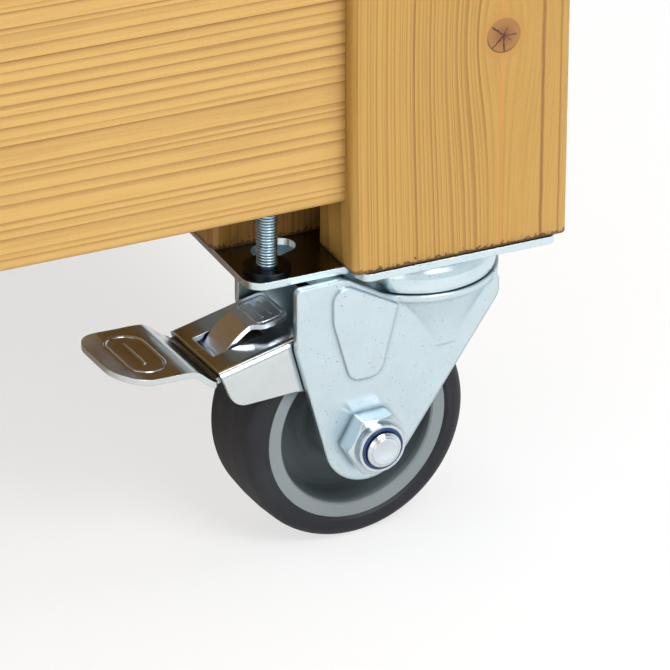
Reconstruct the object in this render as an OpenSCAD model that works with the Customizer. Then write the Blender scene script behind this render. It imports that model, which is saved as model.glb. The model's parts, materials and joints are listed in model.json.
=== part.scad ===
// Rolling planter: a timber trough on four swivel castors, the front pair with brakes.
// Millimetres. Z is up, the front looks to -Y, the origin is on the ground below the middle.

/* [Planter] */
// Overall width of the timber, along X
planter_w = 800; // [600:10:1200]
// Overall depth of the timber, along Y
planter_d = 400; // [360:10:600]
// Height of the corner planks and posts
body_h = 370; // [300:5:420]

/* [Timber sections] */
// Width of a corner plank
plank_w = 75; // [65:1:95]
// Thickness of a corner plank
plank_t = 28; // [24:1:36]
// Side of the square inner corner post
post_s = 73; // [60:1:90]
// Thickness of a wall board
board_t = 28; // [20:1:34]
// How far a wall board stands back from the plank's face
setback = 7; // [4:0.5:10]
// Gap between the lowest board and the foot of the plank
board_lift = 22; // [15:1:40]
// Open joint between the lower and the upper board
board_gap = 5; // [2:0.5:10]
// Radius of the rounded long edges of the timber
arris_r = 3; // [1:0.5:4]

/* [Floor] */
// Width of a floor bearer
bearer_w = 30; // [20:1:45]
// Height of a floor bearer
bearer_h = 40; // [25:1:60]
// Height of the bearers above the foot of the lowest board
bearer_lift = 9; // [0:1:20]
// Width of a floor slat
slat_w = 90; // [60:1:120]
// Thickness of a floor slat
slat_t = 20; // [14:1:28]
// Least gap between floor slats
slat_gap = 8; // [4:1:20]

/* [Liner] */
// Wall of the moulded liner
liner_t = 2; // [1.6:0.1:3]
// Clearance between the liner and the timber
liner_gap = 2; // [1:0.5:4]
// Distance from the top of the timber down to the liner's rim
liner_below_top = 12; // [6:1:40]
// Width of the liner's turned-in rim
liner_rim = 8; // [6:1:14]
// Radius of a drain hole
drain_r = 6; // [4:0.5:8]

/* [Timber screws] */
// Radius of a timber screw's shank
screw_r = 3; // [2.5:0.1:3.5]
// Radius of a timber screw's countersunk head
screw_head_r = 6; // [5:0.5:7]
// Height between the two screws that cross in a post
screw_stagger = 16; // [14:1:24]
// Length of the dowel between an end board and its plank
dowel_l = 40; // [30:1:50]
// How deep a dowel sits in the plank
dowel_in = 12; // [8:1:16]
// How deep a timber screw bites into the board
screw_bite = 20; // [14:1:24]

/* [Castor plate] */
// Length of the top plate, along X
plate_l = 103; // [100:0.5:118]
// Depth of the top plate, along Y
plate_d = 85.5; // [78:1:95]
// Sheet thickness of the top plate
plate_t = 2.5; // [2:0.1:3.5]
// Distance from the plank's side face to the plate's end
plate_in = 4.4; // [2:0.2:8]
// How far the plate stands proud of the plank's front face
plate_proud = 1; // [0.5:0.5:4]
// Width of the ear that reaches past the plank
ear_w = 36; // [30:0.2:38]
// How far the ear's front edge stands back from the plate's
ear_step = 8.4; // [6:0.2:12]
// Corner radius of the ear
ear_r = 6.5; // [4:0.5:10]
// Distance from the plank's side face to the swivel axis
swivel_in_x = 41; // [39:0.5:44]
// Distance from the plank's front face to the swivel axis
swivel_in_y = 28; // [26:0.5:32]
// Radius of the ball-race dome under the plate
dome_r = 26.5; // [26:0.1:27]
// Height of the ball-race dome
dome_h = 10.4; // [8:0.1:11]
// Length of the slot in the ear
slot_l = 16; // [13:0.5:18]
// Width of the slot in the ear
slot_w = 10.5; // [8:0.5:11]
// Distance from the plank's inner side to the middle of the slot
slot_out = 14.8; // [14:0.2:16]
// Distance from the plank's front face to the middle of the slot
slot_in_y = 28.9; // [28:0.5:31]
// Angle of the slot to the plate's long edge
slot_turn = 21; // [10:1:30]

/* [Hanger rod] */
// Distance from the plank's inner side to the rod
rod_out = 22.6; // [20:0.2:25]
// Distance from the plank's front face to the rod
rod_in_y = 16.5; // [14:0.5:20]
// Radius of the threaded rod
rod_r = 3.1; // [2.5:0.1:3.4]
// How far the rod runs up into the board
rod_bite = 45; // [30:1:60]
// Radius of the washer on the ear
washer_r = 7.6; // [7:0.1:9]
// Thickness of the washer
washer_t = 1.4; // [1:0.1:2]
// Radius of the nut that is pressed into the ear, flush on both faces
rod_nut_r = 5; // [4.5:0.1:5.5]

/* [Plate screws] */
// Radius of a plate screw's shank
plate_screw_r = 3; // [2.5:0.1:3.5]
// Length of a plate screw in the timber
plate_screw_l = 50; // [35:1:70]
// Radius of a plate screw's countersunk head
plate_screw_head = 5; // [4.5:0.1:5.2]
// Length of a plate screw's tip
plate_screw_tip = 5; // [3:0.5:7]
// Distance from the plank's side and front faces to the screw in its foot
plank_screw_in = 11; // [10:0.5:12]
// Distance from the post's sides to the screws in its foot
post_screw_in = 14; // [12:0.5:20]

/* [Fork] */
// Half the outer width of the fork
fork_half = 21.25; // [21:0.25:22]
// Sheet thickness of the fork
fork_t = 2.5; // [2:0.1:2.6]
// Radius of the fork's crown
crown_r = 27.3; // [26.5:0.1:28]
// Gap between the dome and the crown
crown_gap = 0.4; // [0.3:0.05:0.6]
// Gap between the plate and the horns that the cheeks raise behind the crown
horn_gap = 0.6; // [0.5:0.1:1]
// Distance from the swivel axis to the top of the slope between horn and crown
slope_top = 36; // [33:0.5:38]
// Distance from the swivel axis to the foot of that slope
slope_foot = 20; // [20:0.5:23]
// Drop from the plate's top face to the bend in the cheek's rear edge
rear_drop = 25; // [20:0.5:30]
// Drop from the plate's top face to the bend in the cheek's front edge
front_drop = 21; // [18:0.5:28]
// How far the fork's level top reaches behind the swivel axis
web_back = 36; // [30:1:38]
// Length of the fork from the swivel axis to its rear edge
fork_rear = 53.5; // [51:0.5:55]
// Length of the cheek in front of the swivel axis
fork_front = 19.5; // [17:0.5:21]
// Height of the flare under the crown
flare_h = 20; // [10:0.5:22]
// Radius of the cheek's tip round the axle
tip_r = 15.4; // [14:0.2:16]
// How far the cheek's pressed panel stands proud
panel_t = 0.8; // [0.5:0.1:1.2]
// Distance from the plate's top face to the foot of the pressed panel
panel_drop = 39.6; // [36:0.2:42]
// Distance from the swivel axis to the panel's rear edge
panel_back = 40.8; // [38:0.2:43]
// Distance from the swivel axis to the panel's front corner
panel_front = 17.6; // [17:0.2:20]
// Margin between the panel and the cheek's top edge
panel_margin = 1.6; // [1.2:0.1:2.4]
// Depth of the crown's straight rim
rim_lip = 1.2; // [0.8:0.1:1.6]

/* [Wheel] */
// Radius of the tyre
wheel_r = 40; // [38:0.5:41]
// Width of the tyre
tyre_w = 29.6; // [22:0.2:29.6]
// Outer radius of the rim ring
rim_r = 32; // [31:0.25:33]
// Inner radius of the rim ring
rim_in_r = 27.8; // [26:0.2:28]
// How far the axle trails behind the swivel axis
trail = 28; // [26:0.5:29]
// Drop from the plate's top face to the axle
axle_drop = 61; // [60.5:0.5:64]
// Radius of the hub
hub_r = 13.5; // [11:0.25:14]
// Thickness of the wheel's disc
disc_t = 6; // [4:0.5:8]
// Radius of the tyre's rounded shoulders
shoulder_r = 4.5; // [3:0.5:5]
// How far the rim lies inside the tyre's side faces
rim_inset = 0.8; // [0.5:0.1:1.2]

/* [Axle] */
// Radius of the axle bolt
axle_r = 6; // [5:0.25:6.5]
// Width across the flats of the axle's nut and head
axle_af = 19; // [17:0.5:20]
// Height of the bolt's head
axle_head = 7.5; // [6:0.5:8]
// Height of the lock nut without its collar
axle_nut_h = 7.5; // [6:0.5:8]
// Height of the lock nut's collar
axle_collar = 2; // [1.5:0.25:3]
// How far the bolt's end stands out of the nut
axle_end = 2; // [1:0.25:3]
// Chamfer at the bolt's end
axle_chamfer = 0.8; // [0.5:0.1:1.2]

/* [Swivel bearing] */
// How far the balls sink into the fork's crown
race_sink = 0.4; // [0.3:0.1:0.6]
// Radius of a bearing ball
ball_r = 2; // [1.8:0.05:2.1]
// Number of balls in one castor
balls = 20; // [12:1:28]
// Radius of the ball circle
ball_circle = 22.5; // [21:0.25:23]
// Radius of the king pin
king_r = 5; // [4:0.25:6]
// Radius of the king pin's heads
king_head_r = 9; // [8:0.25:10]

/* [Brake] */
// Half the outer width of the brake lever
lever_half = 18; // [17.5:0.1:18.4]
// Sheet thickness of the brake lever
lever_t = 1.8; // [1.5:0.1:2]
// Slope of the lever at rest, in degrees
lever_slope = 11.6; // [9:0.2:13]
// Distance from the swivel axis to the lever's outer end
lever_reach = 79; // [76:0.5:82]
// Distance from the plate's top face to the lever's top at the fork's edge
lever_drop = 22.3; // [21.5:0.1:22.6]
// Distance from the swivel axis to the lever's pivot
pivot_back = 34; // [32:0.5:36]
// Drop from the plate's top face to the lever's pivot
pivot_drop = 29.5; // [28.5:0.5:30.5]
// Thickness of a pivot's head inside the lever
pivot_head = 0.8; // [0.6:0.1:1.2]
// How deep a pivot sits in the cheek
pivot_sink = 1.3; // [1:0.1:1.6]
// Radius of the lever's pivots
pivot_r = 3; // [2.5:0.1:3.4]
// Length of the lever's window
window_l = 18; // [15:0.5:19]
// Width of the lever's window
window_w = 14.4; // [14.5:0.1:17]
// Length of the foot pad
pad_l = 35; // [32:0.5:40]
// Width of the foot pad
pad_w = 37; // [32:0.5:40]
// Thickness of the foot pad
pad_t = 2; // [1.6:0.1:2.4]
// Width of the release tab's pad
tab_w = 18.8; // [17:0.2:20]
// Width of the release tab's tongue
tongue_w = 12.6; // [11:0.2:14]
// Thickness of the release tab
tab_t = 1.6; // [1.2:0.1:2]
// Radius of the barrel that the release tab turns with
tab_barrel_r = 2.4; // [2.2:0.1:2.6]
// Radius of the release tab's trunnions
tab_pin_r = 1.8; // [1.5:0.1:2]
// Distance from the lever's outer end to the tab's trunnions
tab_pin_in = 8; // [7:0.5:9]
// Distance from the lever's underside to the tab's trunnions
tab_pin_drop = 3.2; // [3:0.1:3.6]
// Length of the brake shoe
shoe_l = 14; // [10:1:16]
// Width of the brake shoe
shoe_w = 22; // [18:1:24]
// Depth of the shoe's block below the lever's top face
shoe_h = 14; // [12:0.5:15]
// Gap between the shoe and the tread when the brake is off
shoe_gap = 2.7; // [2.1:0.1:2.8]

/* [Fits] */
// Radial clearance of a running fit
run_fit = 0.05; // [0.03:0.01:0.09]
// Clearance round a fastener in its hole
hole_fit = 0.1; // [0.05:0.05:0.3]
// Clearance between sheet parts that slide past each other
slide_fit = 0.3; // [0.25:0.05:0.5]
// Turn of the castors at rest, in degrees
castor_turn = 3.5; // [0:0.5:8]

/* [Hidden] */
$fn = 64;
cut = 1;
corners = ["front_right", "front_left", "back_right", "back_left"];
braked = ["front_right", "front_left"];
walls = ["front", "back", "left", "right"];
tiers = ["lower", "upper"];

wood = [0.82, 0.64, 0.38];
wood_dark = [0.74, 0.56, 0.33];
zinc = [0.79, 0.84, 0.87];
zinc_dark = [0.55, 0.53, 0.5];
rubber = [0.15, 0.15, 0.16];
core_grey = [0.47, 0.5, 0.51];
liner_black = [0.1, 0.1, 0.1];

// Levels and places worked out from the sizes above
castor_h = axle_drop + wheel_r;
wall_in = setback + board_t;
post_far = wall_in + post_s;
board_h = (body_h - board_lift - board_gap) / 2;
bearer_z = board_lift + bearer_lift;
floor_z = bearer_z + bearer_h;
liner_z = floor_z + slat_t;
liner_top = body_h - liner_below_top;
rod_in_x = plank_w + rod_out;
inner_x = planter_w / 2 - wall_in;
inner_y = planter_d / 2 - wall_in;
bay_x = planter_w / 2 - post_far;
bay_y = planter_d / 2 - post_far;
dome_z = -plate_t - dome_h;
crown_z = dome_z - crown_gap;
fork_in = fork_half - fork_t;
lever_in = lever_half - lever_t;
hub_half = fork_in - slide_fit;
axle_l = 2 * fork_half + axle_nut_h + axle_collar + axle_end;
lever_rise = tan(lever_slope);
shoe_x = -(pivot_back + lever_reach) / 2 + 0.5;
lever_under = lever_t / cos(lever_slope);
horn_z = -plate_t - horn_gap;

// ---------- outline helpers ----------

function unit(v) = v / norm(v);

// Points of an arc about c, from angle a to angle b
function arc(c, r, a, b, n = 8) =
    [for (i = [0:n]) c + r * [cos(a + (b - a) * i / n), sin(a + (b - a) * i / n)]];

// One corner [x, y, r] of an outline between its neighbours, as the points of its fillet
function fillet(p, q, s) =
    let (a = unit([p.x, p.y] - [q.x, q.y]), b = unit([s.x, s.y] - [q.x, q.y]),
         half = acos(max(-1, min(1, a * b))) / 2, r = q.z, m = unit(a + b),
         c = [q.x, q.y] + m * r / sin(half), side = sign(a.x * b.y - a.y * b.x),
         mid = atan2(-m.y, -m.x), sweep = 90 - half, n = max(2, ceil(sweep / 7)))
    [for (i = [-n:n]) c + r * [cos(mid - side * sweep * i / n), sin(mid - side * sweep * i / n)]];

// An outline with a fillet at each corner whose radius is not zero
function rounded(v) =
    let (n = len(v))
    [for (i = [0:n - 1])
        each v[i].z > 0 ? fillet(v[(i + n - 1) % n], v[i], v[(i + 1) % n]) : [[v[i].x, v[i].y]]];

// A rectangle from lo to hi with one corner radius
function box_outline(lo, hi, r) =
    rounded([[lo.x, lo.y, r], [hi.x, lo.y, r], [hi.x, hi.y, r], [lo.x, hi.y, r]]);

// The normal of a path at point i
function normal_at(p, i) =
    let (d = unit(p[min(i + 1, len(p) - 1)] - p[max(i - 1, 0)])) [-d.y, d.x];

// A strip of sheet of thickness t, whose top follows the path p
function strip(p, t) = concat(p, [for (i = [len(p) - 1:-1:0]) p[i] - t * normal_at(p, i)]);

// A smooth path through the points p, with n steps between each two
function smooth(p, n = 6) =
    let (m = len(p))
    concat([for (i = [0:m - 2], k = [0:n - 1])
        let (a = p[max(i - 1, 0)], b = p[i], c = p[i + 1], d = p[min(i + 2, m - 1)], t = k / n)
        0.5 * (2 * b + (c - a) * t + (2 * a - 5 * b + 4 * c - d) * t * t
               + (3 * b - a - 3 * c + d) * t * t * t)], [p[m - 1]]);

// Where the line from p touches the circle about c with radius r, on side s
function touch(p, c, r, s) =
    let (d = norm(c - p), base = atan2((c - p).y, (c - p).x), off = asin(r / d))
    p + sqrt(d * d - r * r) * [cos(base + s * off), sin(base + s * off)];

// ---------- placing helpers ----------

function side_x(c) = (c == "front_right" || c == "back_right") ? 1 : -1;
function side_y(c) = (c == "back_right" || c == "back_left") ? 1 : -1;
function turn_of(c) = (side_x(c) > 0 ? 0 : 180) + (side_x(c) * side_y(c) < 0 ? 1 : -1) * castor_turn;

// A corner's own frame: x inwards from the side face, y inwards from the outer face,
// z up from the foot of the timber
module at_corner(c)
    translate([side_x(c) * planter_w / 2, side_y(c) * planter_d / 2, castor_h])
        mirror([side_x(c) > 0 ? 1 : 0, 0, 0])
            mirror([0, side_y(c) > 0 ? 1 : 0, 0])
                children();

// A castor's own frame: z = 0 on the plate's top face, the axle trails towards -x
module at_castor(c)
    translate([side_x(c) * (planter_w / 2 - swivel_in_x), side_y(c) * (planter_d / 2 - swivel_in_y), castor_h])
        rotate([0, 0, turn_of(c)])
            children();

// A side view outline (x, z) made a solid from y = a to y = b
module sheet_xz(a, b)
    translate([0, b, 0])
        rotate([90, 0, 0])
            linear_extrude(b - a)
                children();

module hex_prism(af, h)
    cylinder(r = af / 2 / cos(30), h = h, $fn = 6);

// A hexagon with its far corners turned down
module nut_blank(af, h)
    intersection() {
        hex_prism(af, h);
        cylinder(r1 = af / 2 / cos(30) + h, r2 = af / 2 - 0.2, h = h + 0.0001);
        translate([0, 0, -cut])
            cylinder(r = af / 2 / cos(30) * 0.985, h = h + 2 * cut);
    }

// ---------- timber ----------

// A length of timber from lo to hi with rounded long edges, lying along one axis
module timber(lo, hi, along)
    if (along == "x")
        translate([lo.x, 0, 0])
            rotate([90, 0, 90])
                linear_extrude(hi.x - lo.x)
                    polygon(box_outline([lo.y, lo.z], [hi.y, hi.z], arris_r));
    else if (along == "y")
        translate([0, hi.y, 0])
            rotate([90, 0, 0])
                linear_extrude(hi.y - lo.y)
                    polygon(box_outline([lo.x, lo.z], [hi.x, hi.z], arris_r));
    else
        translate([0, 0, lo.z])
            linear_extrude(hi.z - lo.z)
                polygon(box_outline([lo.x, lo.y], [hi.x, hi.y], arris_r));

function tier_z(t) = castor_h + board_lift + (t == "upper" ? board_h + board_gap : 0);

module long_board(s, t) {
    face = planter_d / 2 - setback;
    reach = planter_w / 2 - plank_w;
    difference() {
        mirror([0, s > 0 ? 1 : 0, 0]) {
            timber([-reach, -face, tier_z(t)], [reach, -face + board_t, tier_z(t) + board_h], "x");
            translate([-inner_x, -planter_d / 2 + plank_t, tier_z(t)])
                cube([2 * inner_x, wall_in - plank_t, board_h]);
        }
        all_corner_screws(hole_fit);
        if (t == "lower")
            all_rods(hole_fit);
    }
}

module end_board(s, t) {
    face = planter_w / 2 - setback;
    reach = planter_d / 2 - plank_t;
    difference() {
        mirror([s > 0 ? 1 : 0, 0, 0])
            timber([-face, -reach, tier_z(t)], [-face + board_t, reach, tier_z(t) + board_h], "y");
        all_corner_screws(hole_fit);
    }
}

module wall_board(w, t)
    color(wood)
        if (w == "front") long_board(-1, t);
        else if (w == "back") long_board(1, t);
        else if (w == "left") end_board(-1, t);
        else end_board(1, t);

module plank(c)
    color(wood)
        at_corner(c)
            difference() {
                timber([0, 0, 0], [plank_w, plank_t, body_h], "z");
                corner_plate_screws(hole_fit);
                corner_plank_screws(hole_fit);
                corner_post_screws(hole_fit);
            }

module post(c)
    color(wood_dark)
        at_corner(c)
            difference() {
                timber([wall_in, wall_in, 0], [post_far, post_far, body_h], "z");
                corner_plate_screws(hole_fit);
                corner_post_screws(hole_fit);
            }

// ---------- floor and liner ----------

module floor_bearers()
    color(wood_dark) {
        for (s = [0, 1])
            mirror([0, s, 0])
                timber([-bay_x, -inner_y, castor_h + bearer_z],
                       [bay_x, -inner_y + bearer_w, castor_h + floor_z], "x");
        for (s = [0, 1])
            mirror([s, 0, 0])
                timber([-inner_x, -bay_y, castor_h + bearer_z],
                       [-inner_x + bearer_w, bay_y, castor_h + floor_z], "y");
    }

module floor_slats() {
    end_w = inner_x - bay_x - 2 * slat_gap;
    count = floor((2 * bay_x + slat_gap) / (slat_w + slat_gap));
    pitch = (2 * bay_x - slat_w) / (count - 1);
    color(wood_dark)
        for (i = [0:count - 1])
            translate([-bay_x + i * pitch, 0, castor_h + floor_z])
                timber([0, -inner_y, 0], [slat_w, inner_y, slat_t], "y");
    color(wood_dark)
        for (s = [0, 1])
            mirror([s, 0, 0])
                translate([0, 0, castor_h + floor_z])
                    timber([-inner_x, -bay_y, 0], [-inner_x + end_w, bay_y, slat_t], "y");
}

// The liner's outline: the trough with its four corners left out, grown by g
module liner_outline(g) {
    long = [inner_x - liner_gap + g, bay_y - liner_gap + g];
    wide = [bay_x - liner_gap + g, inner_y - liner_gap + g];
    square(2 * long, center = true);
    square(2 * wide, center = true);
}

module liner()
    color(liner_black)
        translate([0, 0, castor_h])
            difference() {
                translate([0, 0, liner_z])
                    linear_extrude(liner_top - liner_z)
                        liner_outline(0);
                translate([0, 0, liner_z + liner_t])
                    linear_extrude(liner_top - liner_z - 2 * liner_t)
                        liner_outline(-liner_t);
                translate([0, 0, liner_top - liner_t - cut])
                    linear_extrude(liner_t + 2 * cut)
                        liner_outline(-liner_rim);
                for (x = [-3:3], y = [-1:1])
                    translate([x * bay_x / 4, y * inner_y / 2, liner_z - cut])
                        cylinder(r = drain_r, h = liner_t + 2 * cut);
            }

// ---------- timber screws ----------

// A countersunk screw along -z, its head's face at z = 0
module wood_screw(length, g) {
    translate([0, 0, -length - g])
        cylinder(r = screw_r + g, h = length + g);
    translate([0, 0, -screw_head_r + screw_r])
        cylinder(r1 = screw_r + g, r2 = screw_head_r + g, h = screw_head_r - screw_r + (g > 0 ? 0.01 : 0));
}

function screw_heights() =
    [for (t = [0, 1], k = [0.25, 0.75]) board_lift + t * (board_h + board_gap) + k * board_h];

// The screws from the post into the long board and the end board, in the corner's frame
module corner_post_screws(g)
    for (z = screw_heights()) {
        translate([wall_in + post_s * 0.35, post_far, z + screw_stagger / 2])
            rotate([-90, 0, 0])
                wood_screw(post_s + screw_bite, g);
        translate([post_far, wall_in + post_s * 0.65, z - screw_stagger / 2])
            rotate([0, 90, 0])
                wood_screw(post_s + screw_bite, g);
    }

// The screws from inside the end board's joint into the plank, in the corner's frame
module corner_plank_screws(g)
    for (z = [body_h * 0.3, body_h * 0.7])
        translate([setback + board_t / 2, plank_t + dowel_l / 2 - dowel_in, z])
            rotate([-90, 0, 0])
                dowel(g);

// A plain steel dowel, half in the end board's end grain and half in the plank
module dowel(g)
    translate([0, 0, -dowel_l / 2 - g])
        cylinder(r = screw_r + g, h = dowel_l + 2 * g);

module all_corner_screws(g)
    for (c = corners)
        at_corner(c) {
            corner_post_screws(g);
            corner_plank_screws(g);
        }

// ---------- castor plates and their fixings ----------

// Places of the plate screws in the corner's frame: one in the plank, two in the post
plate_screw_places = [[plank_screw_in, plank_screw_in], [wall_in + post_screw_in, plate_d - post_screw_in],
                      [post_far - post_screw_in, plate_d - post_screw_in]];

// A screw from below, its head's face at z = 0
module plate_screw(g) {
    sink = plate_screw_head - plate_screw_r;
    translate([0, 0, -(g > 0 ? 0.01 : 0)])
        cylinder(r1 = plate_screw_head + g, r2 = plate_screw_r + g, h = sink + (g > 0 ? 0.01 : 0));
    cylinder(r = plate_screw_r + g, h = plate_screw_l - plate_screw_tip);
    translate([0, 0, plate_screw_l - plate_screw_tip])
        cylinder(r1 = plate_screw_r + g, r2 = 0.4 + g, h = plate_screw_tip);
}

module corner_plate_screws(g)
    for (p = plate_screw_places)
        translate([p.x, p.y, -plate_t])
            plate_screw(g);

module plate_screws()
    color(zinc)
        for (c = corners)
            at_corner(c)
                corner_plate_screws(0);

module all_rods(g)
    for (c = corners)
        at_corner(c)
            translate([rod_in_x, rod_in_y, -plate_t])
                cylinder(r = rod_r + g, h = plate_t + board_lift + rod_bite + g);

module hanger_rods()
    color(zinc)
        all_rods(0);

module ring(r_out, r_in, h)
    difference() {
        cylinder(r = r_out, h = h);
        translate([0, 0, -cut])
            cylinder(r = r_in, h = h + 2 * cut);
    }

module hanger_washers()
    color(zinc_dark)
        for (c = corners)
            at_corner(c)
                translate([rod_in_x, rod_in_y, 0])
                    ring(washer_r, rod_r + hole_fit, washer_t);

// Plain nuts pressed into the ear, so that the fork's horns pass below them
module hanger_nuts()
    color(zinc)
        for (c = corners)
            at_corner(c)
                translate([rod_in_x, rod_in_y, -plate_t])
                    ring(rod_nut_r, rod_r + hole_fit, plate_t);

// The plate's outline in the corner's frame, with the ear on the inner side
function plate_outline() =
    let (x0 = plate_in, x1 = plate_in + plate_l - ear_w, x2 = plate_in + plate_l,
         y0 = -plate_proud, y1 = y0 + ear_step, y2 = y0 + plate_d)
    rounded([[x0, y0, 3], [x1, y0, 3], [x1 + 3, y1, 2], [x2, y1, ear_r], [x2, y2, ear_r], [x0, y2, 3]]);

module slot_outline()
    translate([plank_w + slot_out, slot_in_y])
        rotate(-slot_turn) {
            square([slot_l - slot_w, slot_w], center = true);
            for (s = [-1, 1])
                translate([s * (slot_l - slot_w) / 2, 0])
                    circle(r = slot_w / 2);
        }

// The ball-race dome: a pressed shell round the swivel axis, open below
module race_dome()
    rotate_extrude($fn = 96)
        polygon(concat(
            [[king_head_r + 6, -plate_t / 2], [dome_r - 6, -plate_t / 2]],
            [for (i = [0:8]) [dome_r - 6 + 6 * sin(i * 11.25), -plate_t - (dome_h - 1) * (1 - cos(i * 11.25))]],
            [[dome_r, dome_z], [dome_r - 1.6, dome_z], [dome_r - 1.6, dome_z + 1.2]],
            [[ball_circle + ball_r + 0.3, dome_z + ball_r + 1.2]],
            [[ball_circle - ball_r - 0.3, dome_z + ball_r + 1.2]],
            [[ball_circle - ball_r - 0.3, dome_z + 1.6], [king_head_r + 6, dome_z + 1.6]]
        ));

module castor_plate(c)
    color(zinc) {
        difference() {
            at_corner(c)
                difference() {
                    translate([0, 0, -plate_t])
                        linear_extrude(plate_t)
                            difference() {
                                polygon(plate_outline());
                                slot_outline();
                                translate([rod_in_x, rod_in_y])
                                    circle(r = rod_nut_r + run_fit);
                            }
                    corner_plate_screws(hole_fit);
                }
            at_castor(c)
                king_hole();
        }
        at_castor(c)
            race_dome();
    }

module king_hole() {
    translate([0, 0, -plate_t - cut])
        cylinder(r = king_r + hole_fit, h = plate_t + 2 * cut);
    translate([0, 0, -plate_t / 2])
        cylinder(r1 = king_r + hole_fit, r2 = king_r + plate_t / 2 + hole_fit + 0.01, h = plate_t / 2 + 0.01);
}

// The king pin hangs from the plate, and its lower head carries the fork
module king_pins()
    color(zinc_dark)
        for (c = corners)
            at_castor(c) {
                foot = crown_z - fork_t - slide_fit;
                translate([0, 0, foot - 2.4])
                    cylinder(r = king_r, h = 2.4 - foot);
                translate([0, 0, -plate_t / 2])
                    cylinder(r1 = king_r, r2 = king_r + plate_t / 2, h = plate_t / 2);
                translate([0, 0, foot - 2.4])
                    cylinder(r1 = king_head_r - 1.6, r2 = king_head_r, h = 1.2);
                translate([0, 0, foot - 1.2])
                    cylinder(r = king_head_r, h = 1.2);
            }

module swivel_balls()
    color(zinc)
        for (c = corners)
            at_castor(c)
                for (i = [0:balls - 1])
                    rotate(i * 360 / balls)
                        translate([ball_circle, 0, crown_z - race_sink + ball_r])
                            sphere(r = ball_r, $fn = 24);

// ---------- fork ----------

axle_at = [-trail, -axle_drop];

// Side view of a cheek with its horn, (x, z)
function cheek_outline() =
    let (rear = [-fork_rear, -rear_drop], front = [fork_front, -front_drop],
         a = touch(rear, axle_at, tip_r, -1), b = touch(front, axle_at, tip_r, 1),
         ang_a = atan2((a - axle_at).y, (a - axle_at).x),
         ang_b = atan2((b - axle_at).y, (b - axle_at).x),
         horn = [-fork_rear, horn_z], high = [-slope_top, horn_z], low = [-slope_foot, crown_z],
         lip = [fork_front, crown_z - fork_t])
    concat(
        fillet(high, [horn.x, horn.y, 2], rear), fillet(horn, [rear.x, rear.y, 10], a),
        arc(axle_at, tip_r, ang_a, ang_b, 20),
        fillet(b, [front.x, front.y, 6], lip), [lip, [fork_front - 1, crown_z]],
        fillet([0, crown_z], [low.x, low.y, 9], high), fillet(low, [high.x, high.y, 6], horn)
    );

module cheeks()
    for (s = [0, 1])
        mirror([0, s, 0])
            sheet_xz(fork_in, fork_half)
                polygon(cheek_outline());

// The fork's level top, a disc under the race with a bridge behind it
module crown() {
    translate([0, 0, crown_z - fork_t])
        cylinder(r = crown_r, h = fork_t, $fn = 96);
    translate([-web_back, -fork_in - fork_t / 2, crown_z - fork_t])
        cube([web_back, 2 * fork_in + fork_t, fork_t]);
}

// The flare that carries the crown's rim down into the cheeks
function flare_r(t) = fork_half + 0.4 + (crown_r - fork_half - 0.4) * pow(1 - t, 2);
module crown_flare()
    difference() {
        rotate_extrude($fn = 96)
            polygon(concat(
                [[fork_in - fork_t, crown_z], [crown_r, crown_z]],
                [for (i = [0:8]) [flare_r(i / 8), crown_z - rim_lip - i / 8 * flare_h]],
                [[fork_in - fork_t, crown_z - rim_lip - flare_h]]
            ));
        translate([-2 * crown_r, -fork_in, crown_z - fork_t - 2 * flare_h])
            cube([4 * crown_r, 2 * fork_in, 2 * flare_h]);
        for (s = [-1, 1])
            translate([s > 0 ? fork_front : -4 * crown_r - fork_front, -2 * crown_r,
                       crown_z - fork_t - 2 * flare_h])
                cube([4 * crown_r, 4 * crown_r, 2 * flare_h]);
    }

// The plain pressed panel that stiffens each cheek, (x, z)
function panel_outline() =
    let (top = horn_z - panel_margin, front = [-panel_front, crown_z - panel_margin - 1],
         bend = [-panel_back, -17.5], foot_back = panel_back - 6.2, foot_front = panel_front + 6.2)
    rounded([[-panel_back, top - 4, 4.5], [bend.x, bend.y, 12], [-foot_back, -panel_drop, 5],
             [-foot_front, -panel_drop, 5], [front.x, front.y, 1], [-slope_top - 1, top, 4]]);

module panels()
    for (s = [0, 1])
        mirror([0, s, 0])
            sheet_xz(fork_half - panel_t / 4, fork_half + panel_t)
                polygon(panel_outline());

module fork(c)
    color(zinc)
        at_castor(c)
            difference() {
                union() {
                    cheeks();
                    crown();
                    crown_flare();
                    panels();
                }
                translate([0, 0, crown_z - fork_t - cut])
                    cylinder(r = king_r + run_fit, h = fork_t + 2 * cut);
                translate([-trail, 2 * fork_half, -axle_drop])
                    rotate([90, 0, 0])
                        cylinder(r = axle_r + hole_fit, h = 4 * fork_half);
                translate([0, 0, crown_z - race_sink + ball_r])
                    rotate_extrude($fn = 96)
                        translate([ball_circle, 0])
                            circle(r = ball_r + 3 * run_fit, $fn = 32);
                if (side_y(c) < 0)
                    for (s = [0, 1])
                        mirror([0, s, 0])
                            translate([-pivot_back, fork_in + pivot_sink + hole_fit, -pivot_drop])
                                rotate([90, 0, 0])
                                    cylinder(r = pivot_r + hole_fit, h = pivot_sink + hole_fit + cut);
            }

// ---------- axle ----------

module axle_bolt(c)
    color(zinc)
        at_castor(c)
            translate([-trail, fork_half, -axle_drop])
                rotate([90, 0, 0]) {
                    cylinder(r = axle_r, h = axle_l - axle_chamfer);
                    translate([0, 0, axle_l - axle_chamfer])
                        cylinder(r1 = axle_r, r2 = axle_r - axle_chamfer, h = axle_chamfer);
                    mirror([0, 0, 1])
                        nut_blank(axle_af, axle_head);
                }

module axle_nut(c)
    color(zinc)
        at_castor(c)
            translate([-trail, -fork_half, -axle_drop])
                rotate([90, 0, 0])
                    difference() {
                        union() {
                            nut_blank(axle_af, axle_nut_h);
                            cylinder(r = axle_af / 2 - 1.3, h = axle_nut_h + axle_collar);
                        }
                        translate([0, 0, -cut])
                            cylinder(r = axle_r + run_fit, h = axle_nut_h + axle_collar + 2 * cut);
                    }

// ---------- wheel ----------

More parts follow.
